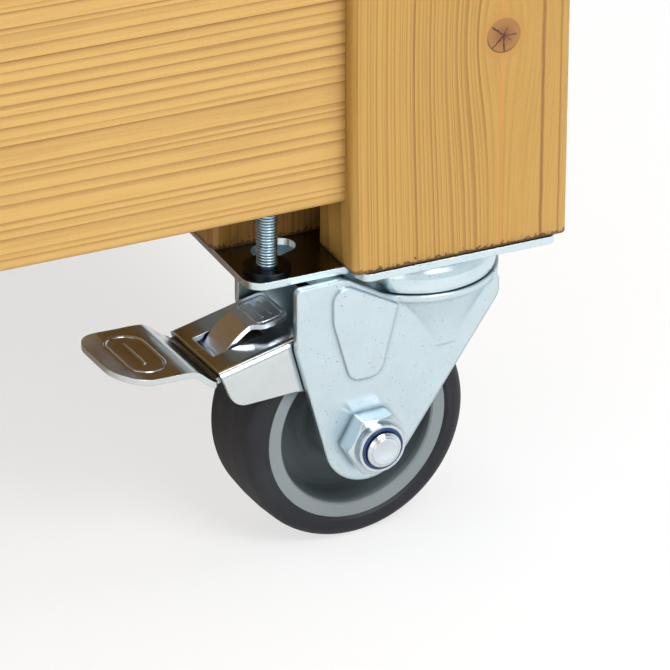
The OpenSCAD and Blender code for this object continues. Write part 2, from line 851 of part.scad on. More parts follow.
module wheel_place(c)
    at_castor(c)
        translate([-trail, 0, -axle_drop])
            rotate([90, 0, 0])
                children();

// Half profile of the tyre, (r, y), mirrored to make the whole
module tyre(c)
    color(rubber)
        wheel_place(c)
            rotate_extrude($fn = 128)
                polygon(concat(
                    [[rim_r, -tyre_w / 2 + rim_inset], [rim_r + 1, -tyre_w / 2]],
                    fillet([rim_r, -tyre_w / 2], [wheel_r - 0.6, -tyre_w / 2, shoulder_r], [wheel_r, 0]),
                    [[wheel_r, -tyre_w / 8], [wheel_r, tyre_w / 8]],
                    fillet([wheel_r, 0], [wheel_r - 0.6, tyre_w / 2, shoulder_r], [rim_r, tyre_w / 2]),
                    [[rim_r + 1, tyre_w / 2], [rim_r, tyre_w / 2 - rim_inset]]
                ));

// Half profile of the wheel's core from the bore's end to the tyre's seat, (r, y)
function core_half() =
    let (face = tyre_w / 2 - rim_inset, dish = disc_t / 2)
    concat(
        [[axle_r + run_fit, hub_half], [hub_r - 1, hub_half], [hub_r - 0.4, hub_half - 0.6]],
        [for (i = [0:4]) [hub_r + 3 - 3 * cos(i * 22.5), dish + 3 - 3 * sin(i * 22.5)]],
        [for (i = [0:4]) [rim_in_r - 6 + 4.5 * sin(i * 22.5), dish + 4.5 - 4.5 * cos(i * 22.5)]],
        [[rim_in_r - 0.5, face - 0.6], [rim_in_r, face], [rim_r, face]]
    );

module wheel_core(c) {
    half = core_half();
    n = len(half);
    color(core_grey)
        wheel_place(c)
            rotate_extrude($fn = 128)
                polygon(concat(half, [for (i = [n - 1:-1:0]) [half[i].x, -half[i].y]]));
}

// ---------- brake ----------

// Height of the lever's top face at x, in the castor's frame
function lever_z(x) = -lever_drop + (x + fork_rear) * lever_rise;

// Side view of the lever, (x, z)
function lever_outline() =
    let (end = -lever_reach, inner = -pivot_back + 6.5)
    rounded([
        [end, lever_z(end), 0.5],
        [inner, lever_z(inner), 3],
        [inner + 0.5, -pivot_drop - 7, 6],
        [-pivot_back - 8, -pivot_drop - 13.5, 5],
        [-fork_rear + 2, lever_z(-fork_rear) - 18, 12],
        [end + 5, lever_z(end) - 13, 6.5]
    ]);

function lever_section() =
    let (deep = -60, top = 0)
    concat(
        rounded([[-lever_half, deep, 0], [-lever_half, top, 3], [lever_half, top, 3], [lever_half, deep, 0]]),
        rounded([[lever_in, deep, 0], [lever_in, top - lever_t, 1.2], [-lever_in, top - lever_t, 1.2],
                 [-lever_in, deep, 0]])
    );

module brake_lever(c)
    color(zinc_dark)
        at_castor(c)
            difference() {
                intersection() {
                    translate([0, 0, lever_z(0)])
                        rotate([0, -lever_slope, 0])
                            translate([-lever_reach * 1.2, 0, 0])
                                rotate([90, 0, 90])
                                    linear_extrude(lever_reach * 1.2)
                                        polygon(lever_section());
                    sheet_xz(-lever_half, lever_half)
                        polygon(lever_outline());
                }
                // the window for the release tab
                translate([-lever_reach + 3, -window_w / 2, lever_z(-lever_reach) - 2 * lever_t])
                    cube([window_l, window_w, 8 * lever_t]);
                // the pivots and the tab's trunnions
                translate([-pivot_back, lever_half + cut, -pivot_drop])
                    rotate([90, 0, 0])
                        cylinder(r = pivot_r + run_fit, h = 2 * (lever_half + cut));
                translate([tab_pin.x, lever_in + 1, tab_pin.y])
                    rotate([90, 0, 0])
                        cylinder(r = tab_pin_r + run_fit, h = 2 * (lever_in + 1));
                // room above the wheel's crown and under the fork's top
                translate([-pivot_back - 3, -lever_in + 1, -60])
                    cube([20, 2 * lever_in - 2, 60]);
            }

module brake_pivots(c) {
    pin = fork_in + pivot_sink - lever_in + slide_fit;
    color(zinc_dark)
        at_castor(c)
            for (s = [0, 1])
                mirror([0, s, 0])
                    translate([-pivot_back, fork_in + pivot_sink, -pivot_drop])
                        rotate([90, 0, 0]) {
                            cylinder(r = pivot_r, h = pin + pivot_head);
                            translate([0, 0, pin])
                                cylinder(r = pivot_r + 1.5, h = pivot_head);
                        }
}

// Path of the foot pad's top face, (x, z), from under the lever to the pad's tip
function pad_path() =
    let (x = -lever_reach, z = lever_z(-lever_reach) - lever_under)
    smooth([[x + 3, z + 3 * lever_rise], [x - 1, z - 0.4], [x - 4, z + 1.4], [x - 8, z + 4.8],
            [x - 12, z + 5.7], [x - 19, z + 6], [x - 26, z + 6.6], [x - pad_l, z + 8.6]], 5);

module brake_pad(c)
    color(zinc_dark)
        at_castor(c)
            intersection() {
                sheet_xz(-pad_w / 2, pad_w / 2)
                    polygon(strip(pad_path(), -pad_t));
                translate([0, 0, -60])
                    linear_extrude(80)
                        polygon(rounded([
                            [-lever_reach + 4, -lever_in + slide_fit, 0],
                            [-lever_reach + 4, lever_in - slide_fit, 0],
                            [-lever_reach - 0.6, lever_in - slide_fit, 0], [-lever_reach - 0.6, pad_w / 2, 2],
                            [-lever_reach - pad_l, pad_w / 2, 12], [-lever_reach - pad_l, -pad_w / 2, 12],
                            [-lever_reach - 0.6, -pad_w / 2, 2], [-lever_reach - 0.6, -lever_in + slide_fit, 0]
                        ]));
            }

// The shoe is a curved block under the lever, which meets the tread when the lever is down
module brake_shoe(c)
    color(rubber)
        at_castor(c)
            difference() {
                sheet_xz(-shoe_w / 2, shoe_w / 2)
                    polygon([for (e = [[-1, 0], [1, 0], [1, 1], [-1, 1]])
                        let (x = shoe_x + e.x * shoe_l / 2)
                        [x, e.y > 0 ? lever_z(shoe_x) - shoe_h : lever_z(x) - lever_under]]);
                translate([-trail, shoe_w, -axle_drop])
                    rotate([90, 0, 0])
                        cylinder(r = wheel_r + shoe_gap, h = 2 * shoe_w, $fn = 128);
            }

// Where the release tab turns, (x, z)
tab_pin = [-lever_reach + tab_pin_in, lever_z(-lever_reach + tab_pin_in) - lever_t - tab_pin_drop];

function tab_path() =
    smooth([tab_pin + [-1.6, 1.6], tab_pin + [0.6, 5], tab_pin + [4, 8.4], tab_pin + [8, 11],
            tab_pin + [12, 12.1], tab_pin + [17, 12.8], tab_pin + [21, 13.6]], 5);

module release_tab(c)
    color(zinc)
        at_castor(c) {
            intersection() {
                sheet_xz(-tab_w / 2, tab_w / 2)
                    polygon(strip(tab_path(), tab_t));
                translate([0, 0, -60])
                    linear_extrude(80)
                        polygon(rounded([
                            [tab_pin.x - 4, -tongue_w / 2, 0], [tab_pin.x + 9, -tongue_w / 2, 2],
                            [tab_pin.x + 12, -tab_w / 2, 2], [tab_pin.x + 21, -tab_w / 2, 2.5],
                            [tab_pin.x + 21, tab_w / 2, 2.5], [tab_pin.x + 12, tab_w / 2, 2],
                            [tab_pin.x + 9, tongue_w / 2, 2], [tab_pin.x - 4, tongue_w / 2, 0]
                        ]));
            }
            translate([tab_pin.x, lever_in - slide_fit, tab_pin.y])
                rotate([90, 0, 0])
                    cylinder(r = tab_barrel_r, h = 2 * (lever_in - slide_fit));
            translate([tab_pin.x, lever_in + lever_t / 2, tab_pin.y])
                rotate([90, 0, 0])
                    cylinder(r = tab_pin_r, h = 2 * lever_in + lever_t);
        }

module corner_screws()
    color(zinc)
        all_corner_screws(0);

// ---------- the whole ----------

for (w = walls, t = tiers)
    wall_board(w, t);
for (c = corners) {
    plank(c);
    post(c);
    castor_plate(c);
    fork(c);
    axle_bolt(c);
    axle_nut(c);
    wheel_core(c);
    tyre(c);
}
for (c = braked) {
    brake_pivots(c);
    brake_lever(c);
    brake_pad(c);
    brake_shoe(c);
    release_tab(c);
}
floor_slats();
floor_bearers();
liner();
corner_screws();
king_pins();
swivel_balls();
hanger_rods();
hanger_washers();
hanger_nuts();
plate_screws();
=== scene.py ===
# %% [markdown]
# # A timber planter that rolls
# The planter is boards, planks and posts of oiled softwood on four plated castors. Every load-bearing piece
# comes from the frame. This lesson gives each one its finish, and adds the fine shapes that a drawing leaves
# out: the threads, the blue locking ring of each nut, and the pressed ribs of the pedals.

# %% Load the frame
import json
import math

import bmesh
import bpy
from mathutils import Matrix, Vector
from mathutils.bvhtree import BVHTree


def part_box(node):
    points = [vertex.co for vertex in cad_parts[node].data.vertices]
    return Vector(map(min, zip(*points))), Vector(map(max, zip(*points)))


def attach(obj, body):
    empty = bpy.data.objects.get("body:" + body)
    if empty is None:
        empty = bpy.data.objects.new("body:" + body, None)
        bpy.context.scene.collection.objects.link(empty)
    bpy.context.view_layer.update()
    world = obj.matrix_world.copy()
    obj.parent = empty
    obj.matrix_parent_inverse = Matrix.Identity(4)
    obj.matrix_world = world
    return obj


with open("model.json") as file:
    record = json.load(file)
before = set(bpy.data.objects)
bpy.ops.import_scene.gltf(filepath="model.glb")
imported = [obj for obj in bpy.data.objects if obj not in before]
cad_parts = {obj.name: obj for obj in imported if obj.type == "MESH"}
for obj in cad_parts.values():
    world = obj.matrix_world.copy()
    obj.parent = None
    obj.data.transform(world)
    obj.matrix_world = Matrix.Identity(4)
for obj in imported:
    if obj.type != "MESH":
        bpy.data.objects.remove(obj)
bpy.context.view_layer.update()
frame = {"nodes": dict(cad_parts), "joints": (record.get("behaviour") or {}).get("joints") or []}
CORNERS = ("front_right", "front_left", "back_right", "back_left")
BRAKED = CORNERS[:2]
joints = {joint["name"]: joint for joint in frame["joints"]}
MM = 0.001

# %% [markdown]
# ## The camera
# The photograph looks down on the near right corner from the front left with a long lens, so parallel edges
# stay almost parallel. The foot of the corner plank is a sharp point that is easy to find in both pictures.
# The camera is placed so that this point falls where the photograph has it.

# %% Camera
IMAGE_SIDE = 670
FOCAL_PIXELS = 5200
CORNER_PIXEL = (354.5, 276.5)
CORNER_DISTANCE = 1.625
AZIMUTH = math.radians(-25)
ELEVATION = math.radians(27.5)

plank_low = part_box("plank_front_right")[0]
plank_corner = Vector((plank_low[0], plank_low[1], plank_low[2]))
back = Vector((math.sin(AZIMUTH) * math.cos(ELEVATION), -math.cos(AZIMUTH) * math.cos(ELEVATION),
               math.sin(ELEVATION)))
right = Vector((math.cos(AZIMUTH), math.sin(AZIMUTH), 0))
up = back.cross(right)
per_pixel = CORNER_DISTANCE / FOCAL_PIXELS
camera = bpy.data.objects.new("camera", bpy.data.cameras.new("camera"))
camera.data.lens = camera.data.sensor_width * FOCAL_PIXELS / IMAGE_SIDE
camera.data.clip_end = 50
camera.location = (plank_corner + back * CORNER_DISTANCE
                   - right * (CORNER_PIXEL[0] - IMAGE_SIDE / 2) * per_pixel
                   - up * (IMAGE_SIDE / 2 - CORNER_PIXEL[1]) * per_pixel)
camera.rotation_euler = back.to_track_quat("Z", "Y").to_euler()
bpy.context.scene.collection.objects.link(camera)
bpy.context.scene.camera = camera
print("camera at", tuple(round(v, 3) for v in camera.location))

# %% [markdown]
# ## Light and floor
# A product shot like this has a white floor and large soft lamps. The main lamp stands above and to the
# right of the camera, so that faces turned to the left fall into soft shade. Plated steel shows what
# surrounds it: the camera sees white where there is nothing else, and mirror rays see a studio that is white
# at the sides and dark overhead. The light that reaches dull faces from the sky is weaker.

# %% Lamps
scene = bpy.context.scene
scene.view_settings.view_transform = "Standard"


def lamp(name, place, size, watts, target=plank_corner):
    """A square soft lamp that looks at the target."""
    light = bpy.data.lights.new(name, "AREA")
    light.size = size
    light.energy = watts
    holder = bpy.data.objects.new(name, light)
    holder.location = place
    holder.rotation_euler = (holder.location - target).to_track_quat("Z", "Y").to_euler()
    scene.collection.objects.link(holder)


lamp("key", (0.75, -2.0, 1.9), 1.3, 46)
lamp("fill", (-1.6, -1.5, 1.3), 1.5, 13)
lamp("top", (0.5, 0.3, 2.6), 1.8, 30)
print("lamps:", [light.name for light in bpy.data.lights])

# %% [markdown]
# ## The sky
# The world is one shader with three answers. Light Path says what kind of ray asks: dull faces get the soft
# light, mirrors get the studio, and the camera gets white.

# %% Sky
SOFT_LIGHT = 0.34
world = bpy.data.worlds.new("studio")
scene.world = world
world.use_nodes = True
sky = world.node_tree
sky.nodes.clear()
soft = sky.nodes.new("ShaderNodeBackground")
soft.inputs["Color"].default_value = (0.94, 0.97, 1, 1)
soft.inputs["Strength"].default_value = SOFT_LIGHT
white = sky.nodes.new("ShaderNodeBackground")
white.inputs["Color"].default_value = (1, 1, 1, 1)
white.inputs["Strength"].default_value = 1
studio = sky.nodes.new("ShaderNodeBackground")
way = sky.nodes.new("ShaderNodeSeparateXYZ")
sky.links.new(sky.nodes.new("ShaderNodeTexCoord").outputs["Generated"], way.inputs[0])
height = sky.nodes.new("ShaderNodeMapRange")
height.inputs["From Min"].default_value = 0.25
height.inputs["From Max"].default_value = 0.85
sky.links.new(way.outputs["Z"], height.inputs["Value"])
tones = sky.nodes.new("ShaderNodeValToRGB")
tones.color_ramp.elements[0].color = (0.88, 0.91, 0.93, 1)
tones.color_ramp.elements[1].color = (0.22, 0.21, 0.2, 1)
sky.links.new(height.outputs[0], tones.inputs[0])
sky.links.new(tones.outputs[0], studio.inputs["Color"])
path = sky.nodes.new("ShaderNodeLightPath")
mirrored = sky.nodes.new("ShaderNodeMixShader")
choose = sky.nodes.new("ShaderNodeMixShader")
out = sky.nodes.new("ShaderNodeOutputWorld")
sky.links.new(path.outputs["Is Glossy Ray"], mirrored.inputs[0])
sky.links.new(soft.outputs[0], mirrored.inputs[1])
sky.links.new(studio.outputs[0], mirrored.inputs[2])
sky.links.new(path.outputs["Is Camera Ray"], choose.inputs[0])
sky.links.new(mirrored.outputs[0], choose.inputs[1])
sky.links.new(white.outputs[0], choose.inputs[2])
sky.links.new(choose.outputs[0], out.inputs["Surface"])
print("sky nodes:", len(sky.nodes))

# %% [markdown]
# ## Small helpers for materials
# A material is a graph of nodes. A few helpers keep the graphs short: one adds a node and fills its inputs
# with values or links, one does arithmetic, and one mixes two colours.

# %% Node helpers
def add(tree, kind, inputs=None, **settings):
    """Adds a node; an input is given a value, or is linked when it is given a socket."""
    made = tree.nodes.new(kind)
    for name, value in settings.items():
        setattr(made, name, value)
    for name, value in (inputs or {}).items():
        if isinstance(value, bpy.types.NodeSocket):
            tree.links.new(value, made.inputs[name])
        else:
            made.inputs[name].default_value = value
    return made


def calc(tree, operation, first, second=0.0, third=0.0, clamp=False):
    """Arithmetic on numbers or sockets."""
    made = add(tree, "ShaderNodeMath", {0: first, 1: second, 2: third}, operation=operation)
    made.use_clamp = clamp
    return made.outputs[0]


def blend_colours(tree, amount, first, second):
    """Mixes two colours."""
    made = tree.nodes.new("ShaderNodeMix")
    made.data_type = "RGBA"
    for socket, value in ((made.inputs[0], amount), (made.inputs[6], first), (made.inputs[7], second)):
        if isinstance(value, bpy.types.NodeSocket):
            tree.links.new(value, socket)
        else:
            socket.default_value = value
    return made.outputs[2]


print("helpers:", add.__name__, calc.__name__, blend_colours.__name__)

# %% [markdown]
# ## Helpers for finishes
# Noise makes a surface uneven, a group is an effect that several finishes share, and a bump lets a height
# tilt the light on a face. Colours are written as they look on a screen and turned into light values.

# %% Finish helpers
def noise(tree, vector, scale, detail=3.0, roughness=0.55):
    """Soft noise from 0 to 1."""
    made = add(tree, "ShaderNodeTexNoise",
               {"Vector": vector, "Scale": scale, "Detail": detail, "Roughness": roughness})
    return made.outputs["Fac"]


def shader_group(name, numbers, colours=(), outputs=("Height",), vectors=()):
    """An empty node group with named sockets, its input node and its output node."""
    tree = bpy.data.node_groups.new(name, "ShaderNodeTree")
    for labels, kind in ((vectors, "NodeSocketVector"), (numbers, "NodeSocketFloat"),
                         (colours, "NodeSocketColor")):
        for label in labels:
            tree.interface.new_socket(label, in_out="INPUT", socket_type=kind)
    for label in outputs:
        kind = "NodeSocketColor" if label == "Color" else "NodeSocketFloat"
        tree.interface.new_socket(label, in_out="OUTPUT", socket_type=kind)
    return tree, tree.nodes.new("NodeGroupInput").outputs, tree.nodes.new("NodeGroupOutput").inputs


def material(name, metallic=0.0, **constants):
    """A Principled material with its tree, its shader and its object coordinates."""
    made = bpy.data.materials.new(name)
    made.use_nodes = True
    tree = made.node_tree
    shader = tree.nodes["Principled BSDF"]
    shader.inputs["Metallic"].default_value = metallic
    for label, value in constants.items():
        shader.inputs[label.replace("_", " ")].default_value = value
    place = tree.nodes.new("ShaderNodeTexCoord").outputs["Object"]
    return made, tree, shader, place


EDGE_RAYS = 6


def bump(tree, shader, height, distance, strength=1.0, edge=0.0):
    """Lets a height push the normal; edge is the radius that sharp edges seem to have."""
    made = add(tree, "ShaderNodeBump", {"Height": height, "Distance": distance, "Strength": strength})
    if edge:
        rounded = add(tree, "ShaderNodeBevel", {"Radius": edge}, samples=EDGE_RAYS)
        tree.links.new(rounded.outputs[0], made.inputs["Normal"])
    tree.links.new(made.outputs["Normal"], shader.inputs["Normal"])


def linear(red, green, blue):
    """A colour written as it looks on screen, from 0 to 255, as the light values that shaders use."""
    parts = (red, green, blue)
    return tuple(((v / 255 + 0.055) / 1.055) ** 2.4 if v > 10 else v / 255 / 12.92 for v in parts) + (1,)


print("mid grey as light:", round(linear(128, 128, 128)[0], 3))

# %% [markdown]
# ## Floor
# The camera sees the floor partly as plain white, and partly as the lamps light it. So it stays white, but
# keeps the soft shadow of the wheels.

# %% Floor
FLOOR_SIDE = 12
floor_mesh = bpy.data.meshes.new("studio_floor")
half = FLOOR_SIDE / 2
floor_corners = [(-half, -half, 0), (half, -half, 0), (half, half, 0), (-half, half, 0)]
floor_mesh.from_pydata(floor_corners, [], [(0, 1, 2, 3)])
studio_floor = bpy.data.objects.new("studio_floor", floor_mesh)
scene.collection.objects.link(studio_floor)
floor_material, tree, shader = material("floor", Roughness=0.9)[:3]
shader.inputs["Base Color"].default_value = (0.93, 0.93, 0.93, 1)
FLOOR_WHITENESS = 0.68
white_floor = add(tree, "ShaderNodeEmission", {"Color": (1, 1, 1, 1), "Strength": 1})
camera_ray = add(tree, "ShaderNodeLightPath").outputs["Is Camera Ray"]
seen_floor = calc(tree, "MULTIPLY", camera_ray, FLOOR_WHITENESS)
floor_mix = add(tree, "ShaderNodeMixShader", {0: seen_floor, 1: shader.outputs[0], 2: white_floor.outputs[0]})
tree.links.new(floor_mix.outputs[0], tree.nodes["Material Output"].inputs["Surface"])
floor_mesh.materials.append(floor_material)
print("floor side in metres:", FLOOR_SIDE)

# %% [markdown]
# ## Timber
# A tree's rings are cylinders round its pith. A board is cut out of them, so one rule gives the straight
# lines, the arches on a flat-sawn face and the rings on an end. The group measures the distance from the
# pith, bends it with slow noise, and darkens each ring towards its hard late wood. Spacing and darkness
# vary from ring to ring, as wet and dry years do. Bends and fibres are counted in each metre: both are far
# longer along the grain than across it.

# %% Solid timber group
BENDS_ACROSS = 9
BENDS_ALONG = 1.6
FIBRES_ACROSS = 1300
FIBRES_ALONG = 26
timber, given, result = shader_group(
    "solid timber", ("Across", "Depth", "Along", "Pith Across", "Pith Depth", "Ring Width", "Wander",
                     "Contrast", "Speckle"),
    ("Pale", "Dark"), ("Color", "Roughness", "Height"))
slow = add(timber, "ShaderNodeCombineXYZ", {
    0: calc(timber, "MULTIPLY", given["Across"], BENDS_ACROSS),
    1: calc(timber, "MULTIPLY", given["Depth"], BENDS_ACROSS),
    2: calc(timber, "MULTIPLY", given["Along"], BENDS_ALONG)}).outputs[0]
bend = calc(timber, "MULTIPLY", calc(timber, "SUBTRACT", noise(timber, slow, 1, 2), 0.5), given["Wander"])
side = calc(timber, "SUBTRACT", given["Across"], given["Pith Across"])
deep = calc(timber, "SUBTRACT", given["Depth"], given["Pith Depth"])
squares = calc(timber, "ADD", calc(timber, "MULTIPLY", side, side), calc(timber, "MULTIPLY", deep, deep))
radius = calc(timber, "SQRT", squares)
turns = calc(timber, "DIVIDE", calc(timber, "ADD", radius, bend), given["Ring Width"])
uneven = add(timber, "ShaderNodeTexNoise", {"W": turns, "Scale": 0.55, "Detail": 1.0}, noise_dimensions="1D")
turns = calc(timber, "MULTIPLY_ADD", uneven.outputs["Fac"], 1.6, turns)
late = calc(timber, "POWER", calc(timber, "FRACT", turns), 2.2)
year = add(timber, "ShaderNodeTexNoise", {"W": turns, "Scale": 0.9, "Detail": 2.0}, noise_dimensions="1D")
late = calc(timber, "MULTIPLY", late, calc(timber, "MULTIPLY_ADD", year.outputs["Fac"], 1.7, 0.1))
fibre_place = add(timber, "ShaderNodeCombineXYZ", {
    0: calc(timber, "MULTIPLY", given["Across"], FIBRES_ACROSS),
    1: calc(timber, "MULTIPLY", given["Depth"], FIBRES_ACROSS),
    2: calc(timber, "MULTIPLY", given["Along"], FIBRES_ALONG)}).outputs[0]
fibre = noise(timber, fibre_place, 1, 3, 0.6)
cloud = noise(timber, slow, 3, 2)
mark = calc(timber, "MULTIPLY", late, given["Contrast"])
mark = calc(timber, "ADD", mark, calc(timber, "MULTIPLY", calc(timber, "SUBTRACT", fibre, 0.5), 0.55))
mark = calc(timber, "ADD", mark, calc(timber, "MULTIPLY", calc(timber, "SUBTRACT", cloud, 0.5), 0.5))
even_place = add(timber, "ShaderNodeCombineXYZ",
                 {0: given["Across"], 1: given["Depth"], 2: given["Along"]}).outputs[0]
speckle = calc(timber, "SUBTRACT", noise(timber, even_place, 1700, 2), 0.45)
mark = calc(timber, "ADD", mark, calc(timber, "MULTIPLY", speckle, given["Speckle"]), clamp=True)
timber.links.new(blend_colours(timber, mark, given["Pale"], given["Dark"]), result["Color"])
timber.links.new(calc(timber, "MULTIPLY_ADD", fibre, 0.22, 0.42), result["Roughness"])
timber.links.new(calc(timber, "MULTIPLY_ADD", late, -0.5, fibre), result["Height"])
print("timber group nodes:", len(timber.nodes))

# %% [markdown]
# ## A knot
# Where a branch left the trunk, the grain flows round a dark oval. The group pushes the across coordinate
# away from the knot's middle, so that the rings part and close again. It also gives masks for the knot, for
# the darker wood round it, and for the cracks that open from its middle as it dries.

# %% Knot group
knot, given, result = shader_group(
    "knot", ("Across", "Along", "Knot Across", "Knot Along", "Radius"), (),
    ("Across", "Mask", "Share", "Halo", "Cracks"))
off_across = calc(knot, "SUBTRACT", given["Across"], given["Knot Across"])
off_along = calc(knot, "SUBTRACT", given["Along"], given["Knot Along"])
squashed = calc(knot, "MULTIPLY", off_along, 0.45)
reach = calc(knot, "SQRT", calc(knot, "ADD", calc(knot, "MULTIPLY", off_across, off_across),
                                calc(knot, "MULTIPLY", squashed, squashed)))
share = calc(knot, "DIVIDE", reach, given["Radius"])
far = calc(knot, "MULTIPLY", calc(knot, "MULTIPLY", share, share), 0.22)
pull = calc(knot, "DIVIDE", 0.85, calc(knot, "ADD", 1, far))
bent = calc(knot, "SUBTRACT", given["Across"], calc(knot, "MULTIPLY", off_across, pull))
true_reach = calc(knot, "SQRT", calc(knot, "ADD", calc(knot, "MULTIPLY", off_across, off_across),
                                     calc(knot, "MULTIPLY", off_along, off_along)))
true_share = calc(knot, "DIVIDE", true_reach, given["Radius"])
edge = add(knot, "ShaderNodeMapRange", {"Value": true_share, "From Min": 1.04, "From Max": 0.94},
           interpolation_type="SMOOTHSTEP")
rim = calc(knot, "ABSOLUTE", calc(knot, "SUBTRACT", true_share, 1.12))
halo = add(knot, "ShaderNodeMapRange", {"Value": rim, "From Min": 0.5, "From Max": 0.0, "To Max": 0.7},
           interpolation_type="SMOOTHSTEP")
angle = calc(knot, "ARCTAN2", off_along, off_across)
print("knot group nodes so far:", len(knot.nodes))

# %% [markdown]
# ## Cracks in the knot
# A knot dries harder than the wood round it, so it splits from its middle. Each crack has a direction in
# degrees, a length and a width as shares of the knot's radius. Noise makes the cracks jagged, and an arc
# shows where the knot has come loose at its lower left.

# %% Cracks
CRACKS = ((140, 0.9, 0.045), (-4, 0.75, 0.03), (-88, 0.95, 0.045), (-136, 0.92, 0.04),
          (62, 0.5, 0.025), (-38, 0.6, 0.02))
jag_place = add(knot, "ShaderNodeCombineXYZ", {0: given["Across"], 1: given["Along"]}).outputs[0]
jag = calc(knot, "SUBTRACT", noise(knot, jag_place, 900, 2), 0.5)
open_cracks = 0.0
for degrees, length, width in CRACKS:
    turned = calc(knot, "SUBTRACT", angle, math.radians(degrees))
    ahead = calc(knot, "MULTIPLY", calc(knot, "COSINE", turned), true_share)
    straight_aside = calc(knot, "MULTIPLY", calc(knot, "SINE", turned), true_share)
    aside = calc(knot, "MULTIPLY_ADD", jag, 0.16, straight_aside)
    narrow = add(knot, "ShaderNodeMapRange", {"Value": calc(knot, "ABSOLUTE", aside), "From Min": width * 1.6,
                 "From Max": width * 0.4}).outputs[0]
    begun = calc(knot, "GREATER_THAN", ahead, 0)
    reach_out = calc(knot, "MULTIPLY", begun, calc(knot, "LESS_THAN", ahead, length))
    open_cracks = calc(knot, "MAXIMUM", open_cracks, calc(knot, "MULTIPLY", narrow, reach_out))
low_side = calc(knot, "COSINE", calc(knot, "SUBTRACT", angle, math.radians(-112)))
off_rim = calc(knot, "ABSOLUTE", calc(knot, "SUBTRACT", true_share, 0.97))
loose = add(knot, "ShaderNodeMapRange", {"Value": off_rim, "From Min": 0.055, "From Max": 0.015}).outputs[0]
loose = calc(knot, "MULTIPLY", loose, add(knot, "ShaderNodeMapRange", {"Value": low_side, "From Min": 0.2,
             "From Max": 0.7}).outputs[0])
knot.links.new(bent, result["Across"])
knot.links.new(edge.outputs[0], result["Mask"])
knot.links.new(true_share, result["Share"])
knot.links.new(halo.outputs[0], result["Halo"])
knot.links.new(calc(knot, "MAXIMUM", open_cracks, loose), result["Cracks"])
print("cracks:", len(CRACKS))

# %% [markdown]
# ## The colours of the wood
# Oiled softwood is honey coloured, with browner late wood. The boards are the palest and the planks stand in
# between. The posts are given the darkest colours as painted shade, for the shadow under the boards. The knot
# is redder towards its heart, and nearly black in its cracks.
# Two long dark lines and one orange line run down each plank.

# %% Wood colours and lines
PALE = linear(208, 166, 92)
DARK = linear(148, 98, 36)
BOARD_DARK = linear(134, 84, 28)
PLANK_PALE = linear(192, 149, 72)
PLANK_DARK = linear(130, 86, 28)
# The posts' colours are darkened as painted shade: the posts stand in the shadow under the boards.
POST_PALE_WITH_SHADE = linear(172, 129, 60)
POST_DARK_WITH_SHADE = linear(110, 68, 24)
CREVICE_REACH = 9 * MM
KNOT_PALE = linear(158, 110, 54)
KNOT_HEART = linear(132, 74, 38)
KNOT_CRACK = linear(52, 28, 14)
KNOT_RADIUS = 5.9 * MM
LINE_BROWN = linear(132, 82, 34)
ORANGE = linear(206, 132, 62)
HALO_BROWN = linear(186, 134, 62)
# Dark brown of the torn fibres at the foot, and of the painted shadow strip along it.
FIBRE_AND_SHADOW_BROWN = linear(58, 38, 22)


def streak(tree, across, along, at, width, sway):
    """A mask for one long dark line in the wood."""
    wave = add(tree, "ShaderNodeTexNoise", {"W": calc(tree, "MULTIPLY", along, 14)}, noise_dimensions="1D")
    bent = calc(tree, "MULTIPLY_ADD", calc(tree, "SUBTRACT", wave.outputs["Fac"], 0.5), sway, across)
    off = calc(tree, "ABSOLUTE", calc(tree, "SUBTRACT", bent, at))
    mask = add(tree, "ShaderNodeMapRange", {"Value": off, "From Min": width, "From Max": width * 0.25},
               interpolation_type="SMOOTHSTEP")
    return mask.outputs[0]


print("knot across in mm:", round(2 * KNOT_RADIUS / MM, 1))

# %% [markdown]
# ## A finish for each piece of timber
# Each piece was cut from another tree, so it gets its own pith. The material turns the piece's axes so that
# the grain runs along it, and adds what that piece has: a knot, lines, a plain side or a torn foot. Along the
# foot, a thin strip of painted shadow marks where the wood meets the plate. In a narrow gap the wood is
# darkened as painted shade, because little light gets in.

# %% Timber material
HOLLOW_RAYS = 6


